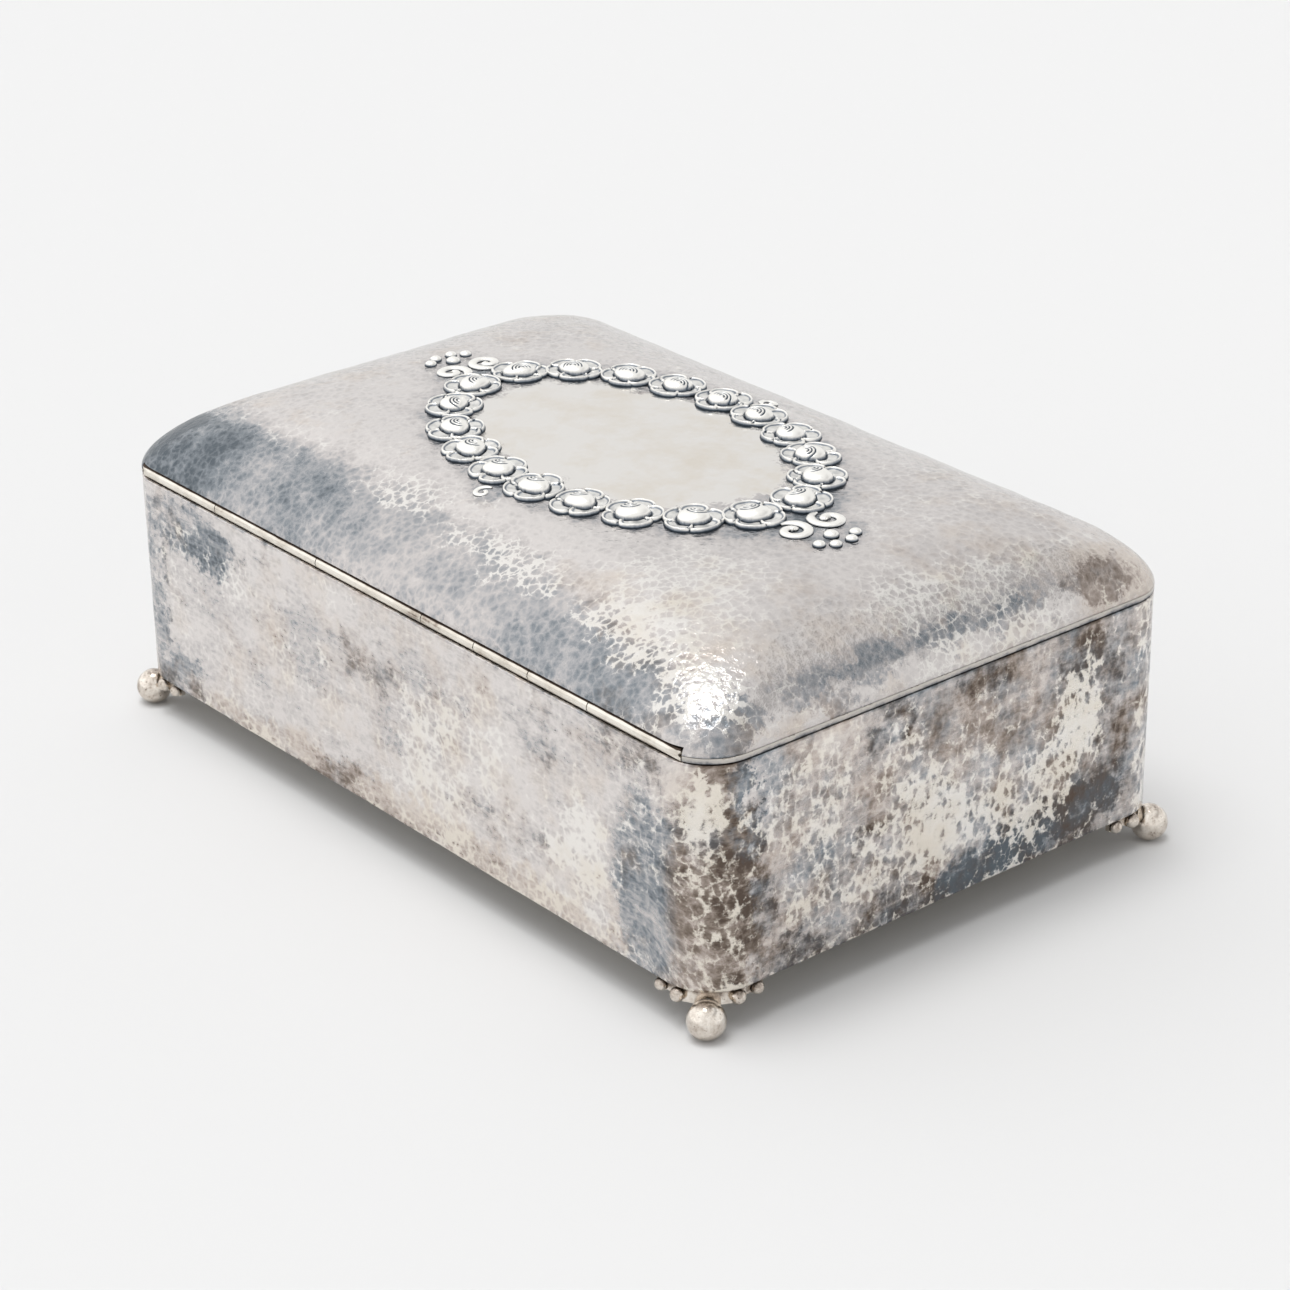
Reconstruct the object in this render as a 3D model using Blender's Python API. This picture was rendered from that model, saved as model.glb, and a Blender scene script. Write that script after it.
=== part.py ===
"""Hand-raised silver casket: hinged domed lid, rose garland, ball feet.

Units are metres and +Z is up. The origin is on the surface that the casket stands on,
under the middle of its plan. The long side runs along X, the hinge along the back at +Y.
"""
import math

import bmesh
import bpy
from mathutils import Matrix, Vector

# Sizes of the whole casket
LENGTH = 0.200
WIDTH = 0.1278
CORNER_RADIUS = 0.0112
BODY_HEIGHT = 0.0490
BODY_GAUGE = 0.0010
LID_GAUGE = 0.0010
JOINT_GAP = 0.00025
CUT_OVERRUN = 0.0040
CORNER_STEPS = 6
SHARP_ANGLE = math.radians(35)
FINE_STEPS = 720
HALVINGS = 30

# Base plate let into the foot of the wall
BASE_GAUGE = 0.0012
BASE_RECESS = 0.0006

# Lid: a low rim band, a broad rolled shoulder and a gentle crown
SEAM_GAP = 0.0003
RIM_TOP = 0.0015
SHOULDER_WIDTH = 0.0295
SHOULDER_RISE = 0.0152
SHOULDER_POWER = 1.735
CROWN_RISE = 0.0025
CROWN_POWER = 1.66
CORNER_SOFTENING = 0.35
LID_CAP_SHARE = 0.95
LID_RINGS = 15

# Hinge: seven tubes on one pin, lying in a slot of the lid's back edge
TUBE_RADIUS = 0.0013
TUBE_WALL = 0.00055
PIN_CLEARANCE = 0.0001
HINGE_CLEARANCE = 0.0003
TUBE_END_GAP = 0.0074
PIN_SINK = 0.0010
TUBE_SIDES = 16
KNUCKLE_SEAM_SHARES = (-0.655, -0.470, -0.295, -0.120, 0.250, 0.630)
BEARER_DEPTH = 0.0028
BEARER_HEIGHT = 0.0030
BEARER_END_GAP = 0.0048
LID_BEARER_WALL = 0.0014
LID_BEARER_RISE = 0.0018
LID_BEARER_LIFT = 0.0006

# Bezel inside the front and the two ends, which keeps the closed lid in line
BEZEL_GAUGE = 0.0008
BEZEL_PROUD = 0.0013
BEZEL_DEPTH = 0.0040
BEZEL_END_GAP = 0.0068

# Feet: a ball under each corner, on a scalloped strip with two grains on each arm
BALL_RADIUS = 0.0040
BALL_FLAT_DEPTH = 0.00015
BALL_OUTSET = 0.0014
BALL_HEADROOM = 0.00115
BALL_SIDES = 16
BALL_RINGS = 10
STRIP_INSET = 0.0012
STRIP_GAUGE = 0.0010
STRIP_END = 0.0002
STRIP_STEPS = 14
STRIP_WEB_DROP = 0.0006
STRIP_NECK_DROP = 0.0014
NEAR_GRAIN_RADIUS = 0.00165
FAR_GRAIN_RADIUS = 0.00145
GRAIN_LAP = 0.0020
GRAIN_SPACING = 0.0049
GRAIN_BACKING = 0.0004

# Garland: roses edge to edge round an oval, with scrolls and grains beyond it
GARLAND_HALF_LENGTH = 0.0488
GARLAND_HALF_WIDTH = 0.0308
GARLAND_SHIFT = -0.0014
GARLAND_TURN = math.radians(-0.9)
ROSE_PITCH = 0.01265
ROSE_OVERLAP_SHARE = 0.075
ROSE_HEIGHT = 0.0025
ROSE_PETALS = 5
PETAL_STEPS = 3
PETAL_NOTCH_SHARE = 0.10
ROSE_RING_SHARES = (
    # of the rose's radius, of the rose's height
    (1.00, 0.28),
    (0.82, 0.59),
    (0.56, 0.35),
    (0.50, 0.66),
    (0.27, 0.93),
)
END_SCROLL_RADIUS = 0.0047
END_SCROLL_NEST = 0.0010
SIDE_SCROLL_RADIUS = 0.0029
SCROLL_WIRE_SHARE = 0.18
SCROLL_EYE_SHARE = 0.16
SCROLL_TIGHTENING = 1.25
END_SCROLL_TURNS = 1.3
SIDE_SCROLL_TURNS = 1.0
SCROLL_POINTS = 20
SPRAY_GRAIN_RADIUS = 0.0017
SPRAY_SEED_RADIUS = 0.0014
SPRAY_SPACING = 0.0007
GRAIN_SIDES = 10
GRAIN_STEPS = 3


def arc_reach(radius, drop):
    """How far along a rounded corner its outline has fallen away by a drop."""
    return math.sqrt(radius ** 2 - (radius - drop) ** 2)


# Places worked out from the sizes above
HALF_LENGTH = LENGTH / 2
HALF_WIDTH = WIDTH / 2
WELD_DISTANCE = JOINT_GAP / 100
BODY_BOTTOM = 2 * BALL_RADIUS - BALL_FLAT_DEPTH + BALL_HEADROOM
BODY_TOP = BODY_BOTTOM + BODY_HEIGHT
HINGE_Y = HALF_WIDTH - TUBE_RADIUS
HINGE_Z = BODY_TOP + JOINT_GAP + TUBE_RADIUS
SLOT_TOP = HINGE_Z + TUBE_RADIUS + HINGE_CLEARANCE
BAND_BOTTOM = BODY_TOP + SEAM_GAP
BAND_TOP = BODY_TOP + RIM_TOP
SHELL_BOTTOM = BAND_TOP + JOINT_GAP
TUBE_END = HALF_LENGTH - TUBE_END_GAP
PIN_END = TUBE_END - PIN_SINK
SWING_END = HALF_LENGTH - CORNER_RADIUS + arc_reach(CORNER_RADIUS, TUBE_RADIUS / 2)
HINGE_SLOT_HALF = max(TUBE_END + HINGE_CLEARANCE, SWING_END)
BEARER_HALF = HALF_LENGTH - CORNER_RADIUS - BEARER_END_GAP
NEAR_GRAIN_PLACE = CORNER_RADIUS - GRAIN_LAP
FAR_GRAIN_PLACE = NEAR_GRAIN_PLACE + GRAIN_SPACING
STRIP_ARM = FAR_GRAIN_PLACE + FAR_GRAIN_RADIUS + STRIP_END
GARLAND_ROUND = math.pi * (
    3 * (GARLAND_HALF_LENGTH + GARLAND_HALF_WIDTH)
    - math.sqrt(
        (3 * GARLAND_HALF_LENGTH + GARLAND_HALF_WIDTH) * (GARLAND_HALF_LENGTH + 3 * GARLAND_HALF_WIDTH)
    )
)
# A multiple of four puts the middle of each side and end between two roses
ROSES = 4 * round(GARLAND_ROUND / ROSE_PITCH / 4)
ROSE_RADIUS = GARLAND_ROUND / ROSES / 2 * (1 + ROSE_OVERLAP_SHARE)
END_SCROLL_PLACE = GARLAND_HALF_LENGTH + ROSE_RADIUS + END_SCROLL_RADIUS - END_SCROLL_NEST
END_SCROLL_SPREAD = END_SCROLL_RADIUS + JOINT_GAP / 2
SIDE_SCROLL_PLACE = GARLAND_HALF_WIDTH + math.sqrt(
    (ROSE_RADIUS + SIDE_SCROLL_RADIUS + SPRAY_SPACING) ** 2 - (GARLAND_ROUND / ROSES / 2) ** 2
)
SPRAY_GRAIN_PLACE = END_SCROLL_PLACE + SPRAY_SPACING + math.sqrt(
    (END_SCROLL_RADIUS + SPRAY_GRAIN_RADIUS) ** 2 - END_SCROLL_SPREAD ** 2
)
NEAR_SEED_PLACE = END_SCROLL_PLACE + END_SCROLL_RADIUS + SPRAY_SEED_RADIUS + SPRAY_SPACING
FAR_SEED_PLACE = SPRAY_GRAIN_PLACE + SPRAY_GRAIN_RADIUS + SPRAY_SEED_RADIUS + SPRAY_SPACING
FAR_SEED_SPREAD = SPRAY_SEED_RADIUS + SPRAY_SPACING


def clear_scene():
    """Empty the file, so that the casket is all that it holds."""
    for thing in list(bpy.data.objects):
        bpy.data.objects.remove(thing, do_unlink=True)


def silver(name, colour, roughness):
    """A silver finish as a Principled material."""
    material = bpy.data.materials.new(name)
    material.use_nodes = True
    shader = material.node_tree.nodes["Principled BSDF"]
    shader.inputs["Base Color"].default_value = (*colour, 1.0)
    shader.inputs["Metallic"].default_value = 1.0
    shader.inputs["Roughness"].default_value = roughness
    return material


def add_object(name, shape, material, place=(0, 0, 0), turn=None):
    """Put a finished bmesh into the scene as one named, smooth-shaded object."""
    bmesh.ops.remove_doubles(shape, verts=shape.verts, dist=WELD_DISTANCE)
    bmesh.ops.recalc_face_normals(shape, faces=shape.faces)
    mesh = bpy.data.meshes.new(name)
    shape.to_mesh(mesh)
    shape.free()
    mesh.shade_smooth()
    mesh.set_sharp_from_angle(angle=SHARP_ANGLE)
    thing = bpy.data.objects.new(name, mesh)
    thing.data.materials.append(material)
    thing.location = place
    if turn is not None:
        thing.rotation_euler = turn
    bpy.context.collection.objects.link(thing)
    return thing


def as_cutter(thing):
    """Mark an object as a tool for cuts, which isn't part of the casket."""
    thing.hide_render = True
    thing.display_type = "WIRE"
    return thing


def cut(thing, tool, operation="DIFFERENCE"):
    """Cut a piece with a tool, as a live modifier."""
    step = thing.modifiers.new(operation.lower() + "_" + tool.name, "BOOLEAN")
    step.operation = operation
    step.solver = "EXACT"
    step.object = tool


def outline(half_length, half_width, radius, steps=CORNER_STEPS):
    """Corner points of a rounded rectangle, anticlockwise from its +X end."""
    radius = min(radius, half_length * LID_CAP_SHARE, half_width * LID_CAP_SHARE)
    points = []
    for corner, (side_x, side_y) in enumerate(((1, 1), (-1, 1), (-1, -1), (1, -1))):
        for step in range(steps + 1):
            angle = math.pi / 2 * (corner + step / steps)
            points.append((
                side_x * (half_length - radius) + radius * math.cos(angle),
                side_y * (half_width - radius) + radius * math.sin(angle),
            ))
    return points


def plan_ring(inset, softened=False):
    """The casket's plan outline, drawn in by an inset."""
    if softened:
        radius = CORNER_RADIUS + CORNER_SOFTENING * inset
    else:
        radius = CORNER_RADIUS - inset
    return outline(HALF_LENGTH - inset, HALF_WIDTH - inset, radius)


def add_loop(shape, points, height):
    """A ring of vertices at one height."""
    return [shape.verts.new((x, y, height)) for x, y in points]


def join_loops(shape, first, second):
    """Faces between two rings that have as many points."""
    count = len(first)
    for index in range(count):
        after = (index + 1) % count
        shape.faces.new((first[index], first[after], second[after], second[index]))


def tube_between(outer, inner, bottom, top):
    """A closed wall between two outlines."""
    shape = bmesh.new()
    rings = [
        add_loop(shape, outer, bottom),
        add_loop(shape, outer, top),
        add_loop(shape, inner, top),
        add_loop(shape, inner, bottom),
    ]
    for index, ring in enumerate(rings):
        join_loops(shape, ring, rings[(index + 1) % len(rings)])
    return shape


def slab(points, bottom, top):
    """A flat plate of the outline given."""
    shape = bmesh.new()
    low = add_loop(shape, points, bottom)
    high = add_loop(shape, points, top)
    join_loops(shape, low, high)
    shape.faces.new(low)
    shape.faces.new(high)
    return shape


def bar_along_x(profile, half_length):
    """A prism along X whose section is a list of Y and Z places."""
    shape = bmesh.new()
    left = [shape.verts.new((-half_length, y, z)) for y, z in profile]
    right = [shape.verts.new((half_length, y, z)) for y, z in profile]
    join_loops(shape, left, right)
    shape.faces.new(left)
    shape.faces.new(right)
    return shape


def open_strip(outer, inner, bottoms, top):
    """A strip bent along an open path, with its own bottom height at each point."""
    shape = bmesh.new()
    sections = []
    for (outer_x, outer_y), (inner_x, inner_y), bottom in zip(outer, inner, bottoms):
        sections.append([
            shape.verts.new((outer_x, outer_y, bottom)),
            shape.verts.new((outer_x, outer_y, top)),
            shape.verts.new((inner_x, inner_y, top)),
            shape.verts.new((inner_x, inner_y, bottom)),
        ])
    for first, second in zip(sections, sections[1:]):
        join_loops(shape, first, second)
    shape.faces.new(sections[0])
    shape.faces.new(sections[-1])
    return shape


def lid_height(inset):
    """Height of the lid's outside above the table, at an inset from its rim."""
    along = min(inset / SHOULDER_WIDTH, 1)
    shoulder = SHOULDER_RISE * (1 - (1 - along) ** SHOULDER_POWER) ** (1 / SHOULDER_POWER)
    crown = CROWN_RISE * (1 - max(1 - inset / HALF_WIDTH, 0) ** CROWN_POWER)
    return BAND_TOP + shoulder + crown


def inset_at(x, y):
    """The inset of the lid's ring that passes through a place in the plan."""
    low, high = 0, HALF_WIDTH * LID_CAP_SHARE
    for _ in range(HALVINGS):
        inset = (low + high) / 2
        half_length = HALF_LENGTH - inset
        half_width = HALF_WIDTH - inset
        radius = min(CORNER_RADIUS + CORNER_SOFTENING * inset, half_width * LID_CAP_SHARE)
        over_x = abs(x) - half_length + radius
        over_y = abs(y) - half_width + radius
        outside = math.hypot(max(over_x, 0), max(over_y, 0)) + min(max(over_x, over_y), 0)
        if outside < radius:
            low = inset
        else:
            high = inset
    return (low + high) / 2


def lid_frame(x, y, spin=0):
    """A frame that lies on the lid at a place in the plan, turned by an angle."""
    reach = ROSE_RADIUS / 2
    slope_x = (lid_height(inset_at(x + reach, y)) - lid_height(inset_at(x - reach, y))) / (2 * reach)
    slope_y = (lid_height(inset_at(x, y + reach)) - lid_height(inset_at(x, y - reach))) / (2 * reach)
    up = Vector((-slope_x, -slope_y, 1)).normalized()
    along = Vector((math.cos(spin), math.sin(spin), 0))
    along = (along - up * along.dot(up)).normalized()
    across = up.cross(along)
    base = Vector((x, y, lid_height(inset_at(x, y)))) + up * JOINT_GAP
    frame = Matrix((along, across, up)).transposed().to_4x4()
    frame.translation = base
    return frame


def seat_on_lid(thing, x, y, spin=0):
    """Lay a piece of the garland onto the lid, at its place about the garland's middle."""
    turned_x = x * math.cos(GARLAND_TURN) - y * math.sin(GARLAND_TURN)
    turned_y = x * math.sin(GARLAND_TURN) + y * math.cos(GARLAND_TURN)
    frame = lid_frame(turned_x, turned_y + GARLAND_SHIFT, spin + GARLAND_TURN)
    thing.location = frame.to_translation()
    thing.rotation_euler = frame.to_euler()


def make_body(finish):
    """The four-sided wall, bent from one strip, and the plate soldered into its foot."""
    wall = tube_between(plan_ring(0), plan_ring(BODY_GAUGE), BODY_BOTTOM, BODY_TOP)
    add_object("body_wall", wall, finish)
    floor_bottom = BODY_BOTTOM + BASE_RECESS
    plate = slab(plan_ring(BODY_GAUGE + JOINT_GAP), floor_bottom, floor_bottom + BASE_GAUGE)
    add_object("base_plate", plate, finish)


def make_bezel(finish):
    """A strip inside the front and the ends that stands proud of the wall's top edge."""
    outer_inset = BODY_GAUGE + JOINT_GAP
    inner_inset = outer_inset + BEZEL_GAUGE
    stop = HALF_WIDTH - CORNER_RADIUS - BEZEL_END_GAP
    front_points = range(2 * CORNER_STEPS + 2, 4 * CORNER_STEPS + 4)
    paths = []
    for inset in (outer_inset, inner_inset):
        ring = plan_ring(inset)
        front = [ring[index] for index in front_points]
        paths.append([(-HALF_LENGTH + inset, stop), *front, (HALF_LENGTH - inset, stop)])
    bottoms = [BODY_TOP - BEZEL_DEPTH] * len(paths[0])
    strip = open_strip(paths[0], paths[1], bottoms, BODY_TOP + BEZEL_PROUD)
    add_object("rim_bezel", strip, finish)


def make_lid(finish, slot):
    """The raised lid and the rim band under it, both slotted for the hinge tubes."""
    band = tube_between(plan_ring(0), plan_ring(LID_GAUGE), BAND_BOTTOM, BAND_TOP)
    cut(add_object("lid_rim_band", band, finish), slot)

    insets = [HALF_WIDTH * LID_CAP_SHARE * (step / LID_RINGS) ** 2 for step in range(LID_RINGS + 1)]
    outside = [(0, SHELL_BOTTOM)] + [(inset, lid_height(inset)) for inset in insets[1:]]
    inside = [(LID_GAUGE, SHELL_BOTTOM)]
    for before, here, after in zip(outside, outside[1:], outside[2:] + [outside[-1]]):
        run = Vector(after) - Vector(before)
        inward = Vector((run.y, -run.x)).normalized() * LID_GAUGE
        inside.append((here[0] + inward.x, here[1] + inward.y))
    shape = bmesh.new()
    outer_rings = [add_loop(shape, plan_ring(inset, True), height) for inset, height in outside]
    inner_rings = [add_loop(shape, plan_ring(inset, True), height) for inset, height in inside]
    for rings in (outer_rings, inner_rings):
        for first, second in zip(rings, rings[1:]):
            join_loops(shape, first, second)
        shape.faces.new(rings[-1])
    join_loops(shape, outer_rings[0], inner_rings[0])
    cut(add_object("lid_shell", shape, finish), slot)


def make_slot_cutter():
    """The slot along the lid's back edge that the hinge tubes lie in."""
    front = HINGE_Y - TUBE_RADIUS - HINGE_CLEARANCE
    back = HALF_WIDTH + CUT_OVERRUN
    bottom = BODY_TOP - CUT_OVERRUN
    profile = [(front, bottom), (back, bottom), (back, SLOT_TOP), (front, SLOT_TOP)]
    return as_cutter(add_object("cutter_hinge_slot", bar_along_x(profile, HINGE_SLOT_HALF), None))


def make_end_facing():
    """A block whose rounded corners file the tubes' ends flush with the casket's corners."""
    points = outline(HALF_LENGTH, HALF_WIDTH, CORNER_RADIUS)
    block = slab(points, BODY_TOP - CUT_OVERRUN, SLOT_TOP + CUT_OVERRUN)
    return as_cutter(add_object("cutter_end_facing", block, None))


def rod(radius, start, end, bore=0):
    """A round bar or a tube along X about its own origin."""
    shape = bmesh.new()
    rings = []
    profile = [(start, radius), (end, radius)]
    if bore:
        profile += [(end, bore), (start, bore)]
    for x, size in profile:
        ring = []
        for side in range(TUBE_SIDES):
            angle = 2 * math.pi * side / TUBE_SIDES
            ring.append(shape.verts.new((x, size * math.cos(angle), size * math.sin(angle))))
        rings.append(ring)
    if bore:
        for index, ring in enumerate(rings):
            join_loops(shape, ring, rings[(index + 1) % len(rings)])
    else:
        join_loops(shape, rings[0], rings[1])
        for ring in rings:
            shape.faces.new(ring)
    return shape


def make_hinge(finish, facing):
    """Seven tubes on one pin: the odd ones belong to the body, the even ones to the lid."""
    axis_place = (0, HINGE_Y, HINGE_Z)
    seams = [-TUBE_END] + [HALF_LENGTH * share for share in KNUCKLE_SEAM_SHARES] + [TUBE_END]
    bore = TUBE_RADIUS - TUBE_WALL
    for index, (start, end) in enumerate(zip(seams, seams[1:])):
        first = index == 0
        last = index == len(KNUCKLE_SEAM_SHARES)
        start_gap = 0 if first else JOINT_GAP / 2
        end_gap = 0 if last else JOINT_GAP / 2
        tube = rod(TUBE_RADIUS, start + start_gap, end - end_gap, bore)
        knuckle = add_object(f"hinge_knuckle_{index + 1}", tube, finish, axis_place)
        if first or last:
            cut(knuckle, facing, "INTERSECT")
    add_object("hinge_pin", rod(bore - PIN_CLEARANCE, -PIN_END, PIN_END), finish, axis_place)


def make_bearers(finish):
    """Strips that the tubes are soldered to: one in the body's rim, one in the lid."""
    wall_inside = HALF_WIDTH - BODY_GAUGE - JOINT_GAP
    body_profile = [
        (wall_inside - BEARER_DEPTH, BODY_TOP - BEARER_HEIGHT),
        (wall_inside, BODY_TOP - BEARER_HEIGHT),
        (wall_inside, BODY_TOP),
        (wall_inside - BEARER_DEPTH, BODY_TOP),
    ]
    add_object("body_hinge_bearer", bar_along_x(body_profile, BEARER_HALF), finish)

    leg_outside = HINGE_Y - TUBE_RADIUS - HINGE_CLEARANCE
    leg_inside = leg_outside - LID_BEARER_WALL
    foot = BODY_TOP + LID_BEARER_LIFT
    top = SLOT_TOP + LID_BEARER_RISE
    lean = shell_inside_at(top) - JOINT_GAP
    root = shell_inside_at(SLOT_TOP) - JOINT_GAP
    lid_profile = [
        (leg_inside, foot),
        (leg_outside, foot),
        (leg_outside, SLOT_TOP),
        (root, SLOT_TOP),
        (lean, top),
        (leg_inside, top),
    ]
    add_object("lid_hinge_bearer", bar_along_x(lid_profile, BEARER_HALF), finish)


def shell_inside_at(height):
    """Y of the lid's inner face at the back, at a height above the table."""
    low, high = 0, SHOULDER_WIDTH
    for _ in range(HALVINGS):
        inset = (low + high) / 2
        if lid_height(inset) < height:
            low = inset
        else:
            high = inset
    return HALF_WIDTH - inset - LID_GAUGE / math.cos(math.atan2(inset, height - BAND_TOP))


def ball(radius, flat_depth):
    """A ball about its own origin, with a small flat worn on its underside."""
    shape = bmesh.new()
    bmesh.ops.create_uvsphere(shape, u_segments=BALL_SIDES, v_segments=BALL_RINGS, radius=radius)
    if flat_depth:
        everything = shape.verts[:] + shape.edges[:] + shape.faces[:]
        flat = (0, 0, flat_depth - radius)
        bmesh.ops.bisect_plane(shape, geom=everything, plane_co=flat, plane_no=(0, 0, -1), clear_outer=True)
        rim = [edge for edge in shape.edges if edge.is_boundary]
        bmesh.ops.contextual_create(shape, geom=rim)
    return shape


def grain(radius):
    """A half-round silver grain about its own origin, domed towards +Z."""
    shape = bmesh.new()
    rings = []
    for height in (0, GRAIN_BACKING):
        rings.append([
            shape.verts.new((
                radius * math.cos(2 * math.pi * side / GRAIN_SIDES),
                radius * math.sin(2 * math.pi * side / GRAIN_SIDES),
                height,
            ))
            for side in range(GRAIN_SIDES)
        ])
    for step in range(1, GRAIN_STEPS):
        rise = math.pi / 2 * step / GRAIN_STEPS
        ring = []
        for side in range(GRAIN_SIDES):
            angle = 2 * math.pi * side / GRAIN_SIDES
            ring.append(shape.verts.new((
                radius * math.cos(rise) * math.cos(angle),
                radius * math.cos(rise) * math.sin(angle),
                GRAIN_BACKING + (radius - GRAIN_BACKING) * math.sin(rise),
            )))
        rings.append(ring)
    for first, second in zip(rings, rings[1:]):
        join_loops(shape, first, second)
    shape.faces.new(rings[0])
    tip = shape.verts.new((0, 0, radius))
    for index, vertex in enumerate(rings[-1]):
        shape.faces.new((vertex, rings[-1][(index + 1) % GRAIN_SIDES], tip))
    return shape


def corner_path(inset):
    """Path round the corner at +X +Y, from the end of one arm to the end of the other."""
    radius = CORNER_RADIUS - inset
    centre_x = HALF_LENGTH - CORNER_RADIUS
    centre_y = HALF_WIDTH - CORNER_RADIUS
    run = STRIP_ARM - CORNER_RADIUS
    path = []
    for step in range(STRIP_STEPS):
        path.append((centre_x + radius, centre_y - run * (1 - step / STRIP_STEPS)))
    for step in range(CORNER_STEPS * 2):
        angle = math.pi / 2 * step / (CORNER_STEPS * 2)
        path.append((centre_x + radius * math.cos(angle), centre_y + radius * math.sin(angle)))
    for step in range(STRIP_STEPS + 1):
        path.append((centre_x - run * step / STRIP_STEPS, centre_y + radius))
    return path


def strip_bottom(x, y):
    """Height of the strip's scalloped lower edge at a place along it."""
    from_corner = max(HALF_LENGTH - x, HALF_WIDTH - y)
    near_height = BODY_BOTTOM - JOINT_GAP - NEAR_GRAIN_RADIUS
    far_height = BODY_BOTTOM - JOINT_GAP - FAR_GRAIN_RADIUS
    drops = []
    places = (
        (NEAR_GRAIN_PLACE, NEAR_GRAIN_RADIUS, near_height),
        (FAR_GRAIN_PLACE, FAR_GRAIN_RADIUS, far_height),
    )
    for place, radius, height in places:
        reach = radius ** 2 - (from_corner - place) ** 2
        if reach > 0:
            drops.append(height - math.sqrt(reach))
    if from_corner < NEAR_GRAIN_PLACE:
        drops.append(near_height - STRIP_NECK_DROP)
    else:
        drops.append(near_height - STRIP_WEB_DROP)
    return min(drops)


def make_feet(finish):
    """Four feet, each a strip under the corner, a ball and four grains."""
    diagonal = math.sqrt(0.5) * (CORNER_RADIUS + BALL_OUTSET)
    ball_x = HALF_LENGTH - CORNER_RADIUS + diagonal
    ball_y = HALF_WIDTH - CORNER_RADIUS + diagonal
    ball_z = BALL_RADIUS - BALL_FLAT_DEPTH
    outer = corner_path(STRIP_INSET)
    inner = corner_path(STRIP_INSET + STRIP_GAUGE)
    bottoms = [strip_bottom(x, y) for x, y in outer]
    grains = (
        (NEAR_GRAIN_PLACE, NEAR_GRAIN_RADIUS),
        (FAR_GRAIN_PLACE, FAR_GRAIN_RADIUS),
    )
    corners = (
        ("back_left", 1, 1),
        ("back_right", -1, 1),
        ("front_right", -1, -1),
        ("front_left", 1, -1),
    )
    for name, side_x, side_y in corners:
        place = (side_x * ball_x, side_y * ball_y, ball_z)
        add_object(f"foot_ball_{name}", ball(BALL_RADIUS, BALL_FLAT_DEPTH), finish, place)
        seat = ball(BALL_RADIUS + JOINT_GAP, 0)
        seat_tool = as_cutter(add_object(f"cutter_seat_{name}", seat, None, place))
        strip = open_strip(
            [(side_x * x, side_y * y) for x, y in outer],
            [(side_x * x, side_y * y) for x, y in inner],
            bottoms,
            BODY_BOTTOM - JOINT_GAP,
        )
        cut(add_object(f"foot_strip_{name}", strip, finish), seat_tool)
        number = 0
        for from_corner, radius in grains:
            height = BODY_BOTTOM - JOINT_GAP - radius
            face = STRIP_INSET - JOINT_GAP
            number += 1
            end_place = (side_x * (HALF_LENGTH - face), side_y * (HALF_WIDTH - from_corner), height)
            end_turn = (0, side_x * math.pi / 2, 0)
            add_object(f"foot_grain_{name}_{number}", grain(radius), finish, end_place, end_turn)
            number += 1
            long_place = (side_x * (HALF_LENGTH - from_corner), side_y * (HALF_WIDTH - face), height)
            long_turn = (-side_y * math.pi / 2, 0, 0)
            add_object(f"foot_grain_{name}_{number}", grain(radius), finish, long_place, long_turn)


def rose():
    """A domed bud in a cup of petals, about its own origin and flat underneath."""
    shape = bmesh.new()
    sides = ROSE_PETALS * PETAL_STEPS
    rings = []
    for share, height_share in ((ROSE_RING_SHARES[0][0], 0), *ROSE_RING_SHARES):
        ring = []
        height = ROSE_HEIGHT * height_share
        for side in range(sides):
            angle = 2 * math.pi * side / sides
            notch = 1 - abs(math.cos(ROSE_PETALS * angle / 2))
            reach = ROSE_RADIUS * share * (1 - PETAL_NOTCH_SHARE * notch * share)
            ring.append(shape.verts.new((reach * math.cos(angle), reach * math.sin(angle), height)))
        rings.append(ring)
    for first, second in zip(rings, rings[1:]):
        join_loops(shape, first, second)
    shape.faces.new(rings[0])
    tip = shape.verts.new((0, 0, ROSE_HEIGHT))
    for index, vertex in enumerate(rings[-1]):
        shape.faces.new((vertex, rings[-1][(index + 1) % sides], tip))
    return shape


def garland_places():
    """Places and headings of the roses, at equal steps along the oval."""
    points = []
    for step in range(FINE_STEPS + 1):
        angle = 2 * math.pi * step / FINE_STEPS
        points.append((GARLAND_HALF_LENGTH * math.cos(angle), GARLAND_HALF_WIDTH * math.sin(angle)))
    lengths = [0]
    for (x, y), (next_x, next_y) in zip(points, points[1:]):
        lengths.append(lengths[-1] + math.hypot(next_x - x, next_y - y))
    places = []
    for index in range(ROSES):
        wanted = lengths[-1] * (index + 0.5) / ROSES
        step = next(number for number, length in enumerate(lengths) if length >= wanted)
        x, y = points[step]
        before_x, before_y = points[step - 1]
        places.append((x, y, math.atan2(y - before_y, x - before_x)))
    return places


def make_garland(finish):
    """Roses soldered edge to edge into one oval garland."""
    roses = bpy.data.collections.new("garland_roses")
    bpy.context.scene.collection.children.link(roses)
    places = garland_places()
    for index, (x, y, heading) in enumerate(places[1:]):
        copy = as_cutter(add_object(f"cutter_rose_{index + 2}", rose(), finish))
        seat_on_lid(copy, x, y, heading)
        roses.objects.link(copy)
    x, y, heading = places[0]
    garland = add_object("rose_garland", rose(), finish)
    seat_on_lid(garland, x, y, heading)
    join = garland.modifiers.new("join_roses", "BOOLEAN")
    join.operation = "UNION"
    join.solver = "EXACT"
    join.operand_type = "COLLECTION"
    join.collection = roses


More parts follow.
